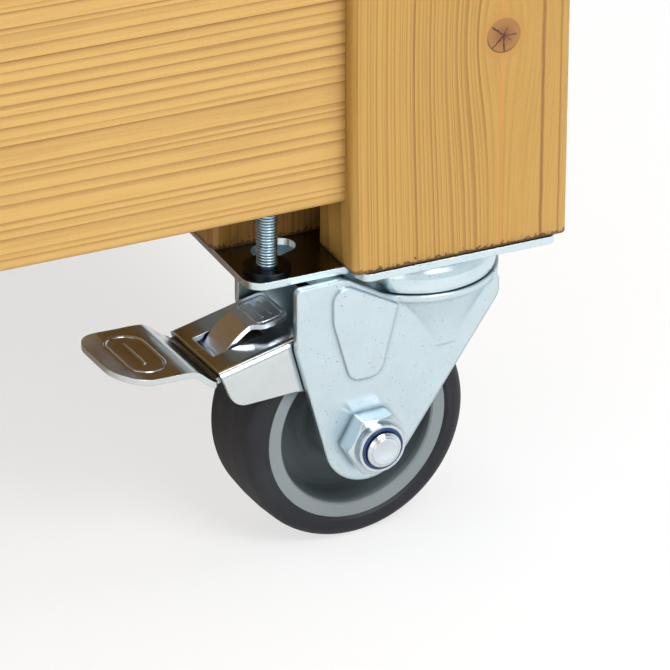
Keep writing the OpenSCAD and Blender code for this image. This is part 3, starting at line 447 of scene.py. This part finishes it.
def timber_material(name, grain, pith, ring, wander=0.02, contrast=0.62, pale=PALE, dark=DARK,
                    knot_at=None, streaks=(), plain_from=None, foot=None):
    """Oiled softwood whose grain runs along one axis: 0 is X, 1 is Y, 2 is Z.

    The rings fade past plain_from. At the sawn foot, torn dark fibres show over a thin strip of painted
    shadow along the whole foot.
    """
    made, tree, shader, place = material(name, Coat_Weight=0.12, Coat_Roughness=0.35)
    split = add(tree, "ShaderNodeSeparateXYZ", {0: place}).outputs
    across, depth = ((2, 1), (2, 0), (0, 1))[grain]
    across_socket = split[across]
    if knot_at:
        parted = add(tree, "ShaderNodeGroup", node_tree=knot)
        tree.links.new(across_socket, parted.inputs["Across"])
        tree.links.new(split[grain], parted.inputs["Along"])
        parted.inputs["Knot Across"].default_value = knot_at[0]
        parted.inputs["Knot Along"].default_value = knot_at[1]
        parted.inputs["Radius"].default_value = KNOT_RADIUS
        across_socket = parted.outputs["Across"]
    wood = add(tree, "ShaderNodeGroup", node_tree=timber)
    for label, value in {"Pith Across": pith[0], "Pith Depth": pith[1], "Ring Width": ring, "Wander": wander,
                         "Contrast": contrast, "Speckle": 0.3, "Pale": pale, "Dark": dark}.items():
        wood.inputs[label].default_value = value
    tree.links.new(across_socket, wood.inputs["Across"])
    tree.links.new(split[depth], wood.inputs["Depth"])
    tree.links.new(split[grain], wood.inputs["Along"])
    colour = wood.outputs["Color"]
    if plain_from is not None:
        fade = add(tree, "ShaderNodeMapRange", {"Value": split[across], "From Min": plain_from - 0.008,
                   "From Max": plain_from + 0.004, "To Min": contrast, "To Max": 0.14})
        tree.links.new(fade.outputs[0], wood.inputs["Contrast"])
    for at, width, strength, sway, tint in streaks:
        line = calc(tree, "MULTIPLY", streak(tree, split[across], split[grain], at, width, sway), strength)
        colour = blend_colours(tree, line, colour, tint)
    if knot_at:
        rosy = add(tree, "ShaderNodeMapRange",
                   {"Value": parted.outputs["Share"], "From Min": 0.1, "From Max": 0.75})
        heart = blend_colours(tree, rosy.outputs[0], KNOT_HEART, KNOT_PALE)
        heart = blend_colours(tree, parted.outputs["Cracks"], heart, KNOT_CRACK)
        colour = blend_colours(tree, parted.outputs["Halo"], colour, HALO_BROWN)
        colour = blend_colours(tree, parted.outputs["Mask"], colour, heart)
    if foot is not None:
        # Torn fibres rise at random from the foot. Under them, a strip 0.35 mm high along the whole foot is
        # painted shadow.
        torn = calc(tree, "POWER", noise(tree, place, 750, 2), 4)
        rise = calc(tree, "MULTIPLY_ADD", torn, 9 * MM, 0.35 * MM)
        lifted = calc(tree, "SUBTRACT", split[grain], foot)
        frayed_and_shadowed = calc(tree, "LESS_THAN", lifted, rise)
        colour = blend_colours(tree, calc(tree, "MULTIPLY", frayed_and_shadowed, 0.75), colour, FIBRE_AND_SHADOW_BROWN)
    hollow = add(tree, "ShaderNodeAmbientOcclusion", {"Distance": CREVICE_REACH}, samples=HOLLOW_RAYS)
    open_air = calc(tree, "POWER", hollow.outputs["AO"], 0.8)
    shaded = add(tree, "ShaderNodeVectorMath", {0: colour, 3: 0.4}, operation="SCALE").outputs[0]
    tree.links.new(blend_colours(tree, open_air, shaded, colour), shader.inputs["Base Color"])
    tree.links.new(wood.outputs["Roughness"], shader.inputs["Roughness"])
    bump(tree, shader, wood.outputs["Height"], 0.12 * MM, 0.6)
    return made


def dress(node, made):
    """Gives a carried-over node its material."""
    part = frame["nodes"][node]
    part.data.materials.clear()
    part.data.materials.append(made)


print("wood groups ready:", timber.name, "and", knot.name)

# %% [markdown]
# ## Dressing the timber
# Planks and posts stand upright, so their grain is along Z. The front and back boards run along X and the
# end boards along Y. A pith far to one side gives nearly straight lines, as on a quarter-sawn face.

# %% Dress the planks and posts
knot_place = (plank_low[0] + 51 * MM, plank_low[2] + 72.8 * MM)
for number, corner in enumerate(CORNERS):
    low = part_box("plank_" + corner)[0]
    shift = 0.006 * number
    lines = [(low[0] + 65 * MM, 0.9 * MM, 0.75, 0.0006, LINE_BROWN),
             (low[0] + 71.2 * MM, 0.5 * MM, 0.6, 0.0005, LINE_BROWN),
             (low[0] + 50.5 * MM, 1.3 * MM, 0.4, 0.0015, ORANGE)]
    plank_wood = timber_material("plank_wood_" + corner, 2, (low[0] - 0.6 - shift, low[1] + 0.1),
                                 0.00145, 0.0035, 0.66, PLANK_PALE, PLANK_DARK,
                                 knot_at=knot_place if corner == "front_right" else None,
                                 streaks=lines, plain_from=low[0] + 50 * MM, foot=low[2])
    dress("plank_" + corner, plank_wood)
    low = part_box("post_" + corner)[0]
    post_wood = timber_material("post_wood_" + corner, 2, (low[0] - 0.5 + shift, low[1] - 0.1),
                                0.0019, 0.005, pale=POST_PALE_WITH_SHADE, dark=POST_DARK_WITH_SHADE, foot=low[2])
    dress("post_" + corner, post_wood)
print("planks and posts dressed:", 2 * len(CORNERS))

# %% [markdown]
# ## The boards and the floor
# Each board's pith lies well below it, a little further for each wall and further still for the upper tier,
# so no two boards show the same lines. The floor's slats and bearers are hardly seen, and one plain grain
# serves both.

# %% Dress the boards and the floor
for number, wall in enumerate(("front", "back", "left", "right")):
    for tier in ("lower", "upper"):
        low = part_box(f"{wall}_board_{tier}")[0]
        grain = 0 if number < 2 else 1
        heart = (low[2] - 0.35 - 0.01 * number - (0.1 if tier == "upper" else 0), low[1 - grain] + 0.2)
        board_wood = timber_material(f"board_wood_{wall}_{tier}", grain, heart, 0.0033, 0.009, 0.68,
                                     dark=BOARD_DARK)
        dress(f"{wall}_board_{tier}", board_wood)
floor_wood = timber_material("floor_wood", 1, (0.2, 0.4), 0.004, 0.03, 0.5)
dress("floor_slats", floor_wood)
dress("floor_bearers", timber_material("bearer_wood", 0, (0.2, 0.4), 0.004, 0.03, 0.5))
print("timber finishes:", sum("wood" in made.name for made in bpy.data.materials))

# %% [markdown]
# ## Plated steel
# Zinc plating is pale with a blue cast and never quite even: a faint cloud, small dark specks, and a soft
# sheen. One group gives all of these, and each plated piece has its own shine. Where two faces meet at an
# inner corner, the colour is darkened towards a blue grey as painted shade, because the corner mirrors
# itself.

# %% Plated steel group
SPECK_GREY = linear(70, 78, 84)
plating, given, result = shader_group("plating", ("Specks", "Shine"), ("Base",),
                                      ("Color", "Roughness", "Height"), vectors=("Place",))
cloud = noise(plating, given["Place"], 140, 4)
speck = add(plating, "ShaderNodeMapRange", {"Value": noise(plating, given["Place"], 1500, 1), "From Min": 0.7,
                                            "From Max": 0.76}).outputs[0]
speck = calc(plating, "MULTIPLY", calc(plating, "MULTIPLY", speck, cloud), given["Specks"], clamp=True)
cloudy = calc(plating, "MULTIPLY_ADD", cloud, 0.16, 0.9)
tinted = add(plating, "ShaderNodeVectorMath", {0: given["Base"], 3: cloudy}, operation="SCALE").outputs[0]
plating.links.new(blend_colours(plating, speck, tinted, SPECK_GREY), result["Color"])
dulled = calc(plating, "ADD", given["Shine"], calc(plating, "MULTIPLY", cloud, 0.16))
plating.links.new(dulled, result["Roughness"])
plating.links.new(noise(plating, given["Place"], 500, 3), result["Height"])
print("plating group nodes:", len(plating.nodes))

# %% [markdown]
# ## Finishes of plated steel
# Shine says how rough the plating is, so a low value is a mirror. The plates' upper faces lie in the dark
# under the timber. Sharp pressed edges are rounded by the shader alone, which costs no faces.

# %% Plated steel material
CORNER_REACH = 2.2 * MM
CORNER_SHADE_TONE = linear(84, 108, 124)
CORNER_RAYS = 6


def plated(name, base, shine, specks=1.0, ripple=0.02, edge=0.35 * MM, dark_top=None):
    """Plated steel with its own colour and shine, and edges that the tumbling has rounded.

    Faces that look up take the dark_top colour, as steel does that has only shade above it.
    """
    made, tree, shader, place = material(name, metallic=1.0)
    finish = add(tree, "ShaderNodeGroup", node_tree=plating)
    tree.links.new(place, finish.inputs["Place"])
    finish.inputs["Base"].default_value = base
    finish.inputs["Shine"].default_value = shine
    finish.inputs["Specks"].default_value = specks
    # Painted shade: inner corners are darkened towards a blue grey.
    corner_dark = add(tree, "ShaderNodeAmbientOcclusion", {"Distance": CORNER_REACH}, samples=CORNER_RAYS)
    shade = calc(tree, "POWER", corner_dark.outputs["AO"], 1.2)
    colour = finish.outputs["Color"]
    if dark_top:
        facing = add(tree, "ShaderNodeNewGeometry").outputs["Normal"]
        upward = add(tree, "ShaderNodeSeparateXYZ", {0: facing}).outputs["Z"]
        on_top = add(tree, "ShaderNodeMapRange",
                     {"Value": upward, "From Min": 0.8, "From Max": 0.95}).outputs[0]
        colour = blend_colours(tree, on_top, colour, dark_top)
    tree.links.new(blend_colours(tree, shade, CORNER_SHADE_TONE, colour), shader.inputs["Base Color"])
    tree.links.new(finish.outputs["Roughness"], shader.inputs["Roughness"])
    bump(tree, shader, finish.outputs["Height"], ripple * MM, 0.5, edge)
    return made


print("plated finishes share the group", plating.name)

# %% [markdown]
# ## Dressing the castors
# The same plating serves every steel piece, and mostly its colour and shine differ. Of the castor's pressed
# parts the fork is the dullest and has the roundest edges. The lever is nearly a mirror. The washers of the
# rods are given a nearly black colour, a painted reflection of the shaded timber above them.

# %% Dress the castors
plate_zinc = plated("plate_zinc", linear(206, 223, 229), 0.16, dark_top=linear(96, 90, 82))
fork_zinc = plated("fork_zinc", linear(200, 217, 224), 0.26, 1.2, edge=1.4 * MM)
bright_zinc = plated("bright_zinc", linear(212, 222, 228), 0.12, 0.3)
lever_steel = plated("lever_steel", linear(204, 211, 214), 0.1, 0.4)
tab_zinc = plated("tab_zinc", linear(216, 221, 231), 0.24, 0.6)
blue_zinc = plated("blue_zinc", linear(186, 212, 226), 0.2, 0.3)
rod_core = plated("rod_core", linear(96, 116, 132), 0.35, 0.3)
# A nearly black, brownish steel for the washers: a painted reflection of the shaded underside of the timber.
dark_reflection_plate = plated("dark_reflection_plate", linear(42, 37, 35), 0.18, 0.2)
yellow_zinc = plated("yellow_zinc", linear(205, 198, 170), 0.3, 0.5)
for corner in CORNERS:
    dress("castor_plate_" + corner, plate_zinc)
    dress("fork_" + corner, fork_zinc)
    dress("axle_bolt_" + corner, bright_zinc)
    dress("axle_nut_" + corner, bright_zinc)
for corner in BRAKED:
    dress("brake_lever_" + corner, lever_steel)
    dress("brake_pad_" + corner, lever_steel)
    dress("brake_pivots_" + corner, bright_zinc)
    dress("release_tab_" + corner, tab_zinc)
for node in ("king_pins", "swivel_balls"):
    dress(node, bright_zinc)
dress("hanger_rods", rod_core)
dress("hanger_nuts", blue_zinc)
dress("hanger_washers", dark_reflection_plate)
for node in ("corner_screws", "plate_screws"):
    dress(node, yellow_zinc)
print("steel dressed on", len(CORNERS), "castors,", len(BRAKED), "of them braked")

# %% [markdown]
# ## Rubber and moulded plastic
# The tyre is a soft dull rubber with a fine moulded skin. The wheel's core is grey plastic with a little more
# gloss, and its outer ring is paler than its dish. This is partly the core's own two tones and partly painted
# light, as the ring faces the lamps and the dish lies in shade. The liner is plain black plastic.

# %% Moulded group
moulded, given, result = shader_group("moulded skin", ("Fineness", "Dust"), ("Base", "Dusty"),
                                      ("Color", "Roughness", "Height"), vectors=("Place",))
skin = noise(moulded, given["Place"], given["Fineness"], 3)
patches = add(moulded, "ShaderNodeMapRange", {"Value": noise(moulded, given["Place"], 60, 4), "From Min": 0.5,
                                              "From Max": 0.8}).outputs[0]
dusty = calc(moulded, "MULTIPLY", patches, given["Dust"], clamp=True)
moulded.links.new(blend_colours(moulded, dusty, given["Base"], given["Dusty"]), result["Color"])
moulded.links.new(calc(moulded, "MULTIPLY_ADD", skin, 0.2, 0.42), result["Roughness"])
moulded.links.new(skin, result["Height"])
print("moulded group nodes:", len(moulded.nodes))

# %% [markdown]
# ## Finishes of the wheel
# The core's outer ring is paler than its dish. This is partly the moulding's own colour and partly painted
# light: the ring faces the lamps, and the dish lies in shade. The material measures how far a point lies from
# the axle, so the ring stays round however the castor stands. It needs no second piece.

# %% Moulded material
def moulded_material(name, base, dusty_colour, fineness, dust, depth, paler=None):
    """A moulded skin; paler gives an axle and a distance past which the colour changes to a paler one, partly
    painted light.
    """
    made, tree, shader, place = material(name, Specular_IOR_Level=0.3)
    finish = add(tree, "ShaderNodeGroup", node_tree=moulded)
    tree.links.new(place, finish.inputs["Place"])
    for label, value in {"Base": base, "Dusty": dusty_colour, "Fineness": fineness, "Dust": dust}.items():
        finish.inputs[label].default_value = value
    colour = finish.outputs["Color"]
    if paler:
        centre, axis, inner, pale_and_lit_colour = paler
        away = add(tree, "ShaderNodeVectorMath", {0: place, 1: centre}, operation="SUBTRACT").outputs[0]
        dot = add(tree, "ShaderNodeVectorMath", {0: away, 1: axis}, operation="DOT_PRODUCT")
        along = dot.outputs["Value"]
        length = add(tree, "ShaderNodeVectorMath", {0: away}, operation="LENGTH").outputs["Value"]
        out_of_axle = calc(tree, "SQRT", calc(tree, "SUBTRACT", calc(tree, "MULTIPLY", length, length),
                                              calc(tree, "MULTIPLY", along, along)))
        # Past the ring's inner edge the colour turns paler. This is partly the core's own tone and partly
        # painted light on the ring, and the darker dish is partly painted shade.
        ring = add(tree, "ShaderNodeMapRange", {"Value": out_of_axle, "From Min": inner - 0.3 * MM,
                                                "From Max": inner + 0.3 * MM}).outputs[0]
        colour = blend_colours(tree, ring, colour, pale_and_lit_colour)
    tree.links.new(colour, shader.inputs["Base Color"])
    tree.links.new(finish.outputs["Roughness"], shader.inputs["Roughness"])
    bump(tree, shader, finish.outputs["Height"], depth * MM, 0.5)
    return made


print("moulded finishes share the group", moulded.name)

# %% [markdown]
# ## Dressing the wheels
# Every core needs a finish of its own, because the paler ring, partly painted light, is measured from that
# wheel's axle. The tyres and the shoes are rubber, the shoes a little plainer.

# %% Dress the wheels, shoes and liner
RIM_INNER = 27.2 * MM
rubber = moulded_material("tyre_rubber", linear(34, 35, 40), linear(66, 68, 73), 1800, 0.3, 0.06)
shoe_rubber = moulded_material("shoe_rubber", linear(40, 40, 42), linear(70, 70, 72), 1500, 0.2, 0.05)
liner_plastic = moulded_material("liner_plastic", linear(34, 34, 35), linear(66, 64, 60), 900, 0.3, 0.08)
dress("liner", liner_plastic)
for corner in CORNERS:
    axle = joints["roll_" + corner]
    # A darker dish and a paler ring: partly the core's own tones, partly painted shade and light.
    core = moulded_material("core_plastic_" + corner, linear(84, 94, 97), linear(98, 107, 110), 1200, 0.4,
                            0.03, (axle["pos_m"], axle["axis"], RIM_INNER, linear(136, 145, 148)))
    dress("wheel_core_" + corner, core)
    dress("tyre_" + corner, rubber)
for corner in BRAKED:
    dress("brake_shoe_" + corner, shoe_rubber)
print("wheels dressed:", len(CORNERS))

# %% [markdown]
# ## Threads
# A thread is one ridge that climbs round the rod. A Geometry Nodes tree winds a spiral at the pitch of the
# thread and sweeps a small diamond along it, so one tree with named sizes serves every rod.

# %% Thread tree
def thread_tree():
    """A node tree that winds one ridge; its sizes are inputs."""
    tree = bpy.data.node_groups.new("wind thread", "GeometryNodeTree")
    for label in ("Radius", "Height", "Turns", "Ridge"):
        tree.interface.new_socket(label, in_out="INPUT", socket_type="NodeSocketFloat")
    tree.interface.new_socket("Finish", in_out="INPUT", socket_type="NodeSocketMaterial")
    tree.interface.new_socket("Geometry", in_out="OUTPUT", socket_type="NodeSocketGeometry")
    sizes = tree.nodes.new("NodeGroupInput").outputs
    spiral = add(tree, "GeometryNodeCurveSpiral", {"Resolution": 40, "Rotations": sizes["Turns"],
                 "Start Radius": sizes["Radius"], "End Radius": sizes["Radius"], "Height": sizes["Height"]})
    profile = add(tree, "GeometryNodeCurvePrimitiveCircle", {"Resolution": 4, "Radius": sizes["Ridge"]})
    sweep = add(tree, "GeometryNodeCurveToMesh",
                {"Curve": spiral.outputs[0], "Profile Curve": profile.outputs[0], "Fill Caps": True})
    flat = add(tree, "GeometryNodeRealizeInstances", {0: sweep.outputs[0]})
    done = add(tree, "GeometryNodeSetMaterial", {"Geometry": flat.outputs[0], "Material": sizes["Finish"]})
    tree.links.new(done.outputs[0], tree.nodes.new("NodeGroupOutput").inputs[0])
    return tree


thread = thread_tree()
print("thread tree nodes:", len(thread.nodes))

# %% [markdown]
# ## From a node tree to a piece
# A modifier runs the tree, and new_from_object turns what it made into a plain mesh. The piece then rides on
# the body that carries it on the real object, and may be given a material.

# %% Piece helpers
def grow(name, tree, values):
    """Runs a Geometry Nodes tree once and returns its result as a plain mesh."""
    seed = bpy.data.objects.new(name + "_seed", bpy.data.meshes.new(name + "_seed"))
    scene.collection.objects.link(seed)
    modifier = seed.modifiers.new("grow", "NODES")
    modifier.node_group = tree
    for item in tree.interface.items_tree:
        if item.in_out == "INPUT" and item.name in values:
            modifier[item.identifier] = values[item.name]
    bpy.context.view_layer.update()
    evaluated = seed.evaluated_get(bpy.context.evaluated_depsgraph_get())
    mesh = bpy.data.meshes.new_from_object(evaluated)
    bpy.data.objects.remove(seed)
    mesh.name = name
    return mesh


def place_piece(name, mesh, body, slot, made=None):
    """Links a finished mesh as a piece that rides on a body."""
    piece = bpy.data.objects.new(name, mesh)
    scene.collection.objects.link(piece)
    if made:
        mesh.materials.clear()
        mesh.materials.append(made)
    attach(piece, body)
    return piece


def smooth_faces(mesh):
    """Shades a mesh round."""
    mesh.polygons.foreach_set("use_smooth", [True] * len(mesh.polygons))


print("helpers:", grow.__name__, place_piece.__name__, smooth_faces.__name__)

# %% [markdown]
# ## The threads of the hanger rods
# Each rod stands in its washer, and its thread shows from there up to the front or back board. The washer's
# box gives the rod's place, so the thread follows if the planter's size changes.

# %% Threads of the hanger rods
PITCH = 1.0 * MM
RIDGE = 0.42 * MM
ROD_RADIUS = 3.1 * MM
washer_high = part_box("hanger_washers")[1]
board_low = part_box("front_board_lower")[0]
WASHER_RADIUS = 7.6 * MM
thread_span = board_low[2] - washer_high[2] - 1.2 * MM
for corner in CORNERS:
    side_x = 1 if corner.endswith("right") else -1
    side_y = 1 if corner.startswith("back") else -1
    foot = Vector((side_x * (washer_high[0] - WASHER_RADIUS), side_y * (washer_high[1] - WASHER_RADIUS),
                   washer_high[2] + 0.6 * MM))
    mesh = grow("rod_thread_" + corner, thread,
                {"Radius": ROD_RADIUS - 0.08 * MM, "Height": thread_span, "Turns": thread_span / PITCH,
                 "Ridge": RIDGE, "Finish": blue_zinc})
    mesh.transform(Matrix.Translation(foot))
    place_piece("rod_thread_" + corner, mesh, "planter", "rod")
print("turns of thread on each rod:", round(thread_span / PITCH, 1))

# %% [markdown]
# ## The lock nut's ring and the bolt's end
# A lock nut holds a nylon ring that grips the thread; here it is blue. The bolt's end has a turned dimple.
# Both are lathed: a short profile is turned about the axle.

# %% Lathe
def lathe(name, profile, centre, axis, steps=64):
    """Turns a profile of (radius, distance along the axis) about an axis; the profile is a closed loop."""
    side_way = axis.orthogonal().normalized()
    other_way = axis.cross(side_way)
    spokes = [side_way * math.cos(math.tau * s / steps) + other_way * math.sin(math.tau * s / steps)
              for s in range(steps)]
    points = [centre + axis * along + spoke * radius for spoke in spokes for radius, along in profile]
    count = len(profile)
    faces = [(s * count + p, s * count + (p + 1) % count, (s + 1) % steps * count + (p + 1) % count,
              (s + 1) % steps * count + p) for s in range(steps) for p in range(count)]
    mesh = bpy.data.meshes.new(name)
    mesh.from_pydata(points, [], faces)
    smooth_faces(mesh)
    return mesh


def outward(mesh):
    """Turns every face outwards."""
    work = bmesh.new()
    work.from_mesh(mesh)
    bmesh.ops.recalc_face_normals(work, faces=work.faces)
    work.to_mesh(mesh)
    work.free()


print("lathe ready")

# %% [markdown]
# ## Rings and bolt ends
# The nut may sit on either side of the wheel, so its outer face is looked up: it is the point of the nut that
# lies furthest along the axle. The ring stands just proud of that face, and the dimple caps the bolt's end.

# %% Rings and bolt ends
NYLON_INNER = 6.1 * MM
NYLON_OUTER = 7.3 * MM
nylon, tree, shader, place = material("nylon_blue", Roughness=0.35)
grain = noise(tree, place, 900)
blue = blend_colours(tree, grain, linear(22, 48, 92), linear(34, 66, 116))
tree.links.new(blue, shader.inputs["Base Color"])
bump(tree, shader, grain, 0.03 * MM)
for corner in CORNERS:
    axle = joints["roll_" + corner]
    centre = Vector(axle["pos_m"])
    axis = Vector(axle["axis"]).normalized()
    nut = frame["nodes"]["axle_nut_" + corner]
    reaches = [(nut.matrix_world @ v.co - centre).dot(axis) for v in nut.data.vertices]
    outer = max(reaches, key=abs)
    way = axis * (1 if outer > 0 else -1)
    face = abs(outer)
    ring = [(NYLON_INNER, face - 1.0 * MM), (NYLON_OUTER, face - 1.0 * MM), (NYLON_OUTER, face + 0.1 * MM),
            (7.0 * MM, face + 0.35 * MM), (6.4 * MM, face + 0.35 * MM), (NYLON_INNER, face + 0.1 * MM)]
    mesh = lathe("nylon_ring_" + corner, ring, centre, way)
    outward(mesh)
    place_piece("nylon_ring_" + corner, mesh, "castor_" + corner, "fasteners", nylon)
    bolt = frame["nodes"]["axle_bolt_" + corner]
    end = max((bolt.matrix_world @ v.co - centre).dot(way) for v in bolt.data.vertices)
    turned = [(0.02 * MM, end - 0.3 * MM), (0.02 * MM, end - 0.15 * MM), (1.1 * MM, end + 0.05 * MM),
              (3.3 * MM, end + 0.05 * MM), (3.7 * MM, end + 0.3 * MM), (4.6 * MM, end + 0.3 * MM),
              (5.0 * MM, end - 0.3 * MM)]
    mesh = lathe("bolt_end_" + corner, turned, centre, way)
    outward(mesh)
    place_piece("bolt_end_" + corner, mesh, "castor_" + corner, "fasteners", bright_zinc)
print("blue rings and bolt ends:", len(CORNERS))

# %% [markdown]
# ## Pressed ribs
# The pedal has a long oval rib with a bar in its middle, and the release tab a frame with two bars, so that
# a foot doesn't slip. Each rib starts as points on one level. They are dropped on the sheet, and a thin
# round tube follows them, partly sunk in the steel.

# %% Rib helpers
def castor_place(corner, x, y):
    """A point of the castor's own frame, in the planter's frame, at height 0."""
    swivel = Vector(joints["swivel_" + corner]["pos_m"])
    across = Vector(joints["roll_" + corner]["axis"])
    trail = Vector(joints["roll_" + corner]["pos_m"]) - swivel
    trail.z = 0
    backwards = trail.normalized()
    return Vector((swivel.x, swivel.y, 0)) + backwards * x + across * y


RIB_SINK = 0.45
RIB_ROUNDNESS = 3


def rib(name, corner, node, loops, thickness, body, slot, made):
    """Tubes that lie on a sheet along loops of (x, y) points."""
    part = frame["nodes"][node]
    sheet = BVHTree.FromPolygons([v.co for v in part.data.vertices],
                                 [p.vertices for p in part.data.polygons])
    curve = bpy.data.curves.new(name, "CURVE")
    curve.dimensions = "3D"
    curve.bevel_depth = thickness
    curve.bevel_resolution = RIB_ROUNDNESS
    for points, closed in loops:
        landed = []
        for x, y in points:
            above = castor_place(corner, x, y)
            above.z = 1
            hit = sheet.ray_cast(above, Vector((0, 0, -1)))[0]
            if hit is not None:
                landed.append(hit - Vector((0, 0, RIB_SINK * thickness)))
        if len(landed) < 2:
            continue
        spline = curve.splines.new("POLY")
        spline.points.add(len(landed) - 1)
        for point, spot in zip(spline.points, landed):
            point.co = (*spot, 1)
        spline.use_cyclic_u = closed
    curve.use_fill_caps = True
    holder = bpy.data.objects.new(name + "_curve", curve)
    scene.collection.objects.link(holder)
    mesh = bpy.data.meshes.new_from_object(holder.evaluated_get(bpy.context.evaluated_depsgraph_get()))
    bpy.data.objects.remove(holder)
    smooth_faces(mesh)
    place_piece(name, mesh, body, slot, made)


print("the spot under the pad, in mm:", [round(v / MM) for v in castor_place("front_right", 100 * MM, 0)])

# %% [markdown]
# ## The outlines of the ribs
# Three small rules draw them: two straight sides with round ends, a frame with round corners, and a straight
# bar. Each gives points on the castor's own level, which are then dropped on the sheet.

# %% Rib outlines
def stadium(centre_x, half_x, half_y, steps=12):
    """A long oval across the pedal."""
    upper = []
    lower = []
    for step in range(steps + 1):
        angle = math.pi * step / steps
        out_x = half_x * math.cos(angle)
        out_y = half_y - half_x + half_x * math.sin(angle)
        upper.append((centre_x + out_x, out_y))
        lower.append((centre_x - out_x, -out_y))
    return upper + lower


def frame_loop(centre_x, half_x, half_y, corner_radius, steps=6):
    """A rectangle with rounded corners."""
    points = []
    for turn, (sign_x, sign_y) in enumerate(((1, 1), (-1, 1), (-1, -1), (1, -1))):
        for step in range(steps + 1):
            angle = (turn + step / steps) * math.pi / 2
            points.append((centre_x + sign_x * (half_x - corner_radius) + corner_radius * math.cos(angle),
                           sign_y * (half_y - corner_radius) + corner_radius * math.sin(angle)))
    return points


def bar(x, half_y, steps=10):
    """A straight rib across the pedal."""
    return [(x, half_y * (2 * s / steps - 1)) for s in range(steps + 1)]


print("points in a long oval:", len(stadium(0, 1, 2)))

# %% [markdown]
# ## Ribs on the pads and the tabs
# Only the front castors have a brake. Distances are measured from the swivel along the way the castor trails,
# so the same loops serve both. Each rib moves with the pedal or the tab that it lies on.

# %% Ribs on the pads and tabs
PAD_MIDDLE = 100 * MM
PAD_RIB = 0.7 * MM
PAD_LOOPS = ((stadium(PAD_MIDDLE, 6.5 * MM, 13 * MM), True), (bar(PAD_MIDDLE, 7.5 * MM), False))
TAB_MIDDLE = 55.5 * MM
TAB_RIB = 0.5 * MM
TAB_LOOPS = ((frame_loop(TAB_MIDDLE, 4.6 * MM, 7.4 * MM, 1.8 * MM), True),
             (bar(TAB_MIDDLE - 1.5 * MM, 5 * MM), False),
             (bar(TAB_MIDDLE + 1.5 * MM, 5 * MM), False))
for corner in BRAKED:
    rib("pad_ribs_" + corner, corner, "brake_pad_" + corner, PAD_LOOPS, PAD_RIB,
        "pedal_" + corner, "brake", lever_steel)
    rib("tab_ribs_" + corner, corner, "release_tab_" + corner, TAB_LOOPS, TAB_RIB,
        "tab_" + corner, "tab", bright_zinc)
print("ribs on each braked castor:", len(PAD_LOOPS) + len(TAB_LOOPS))
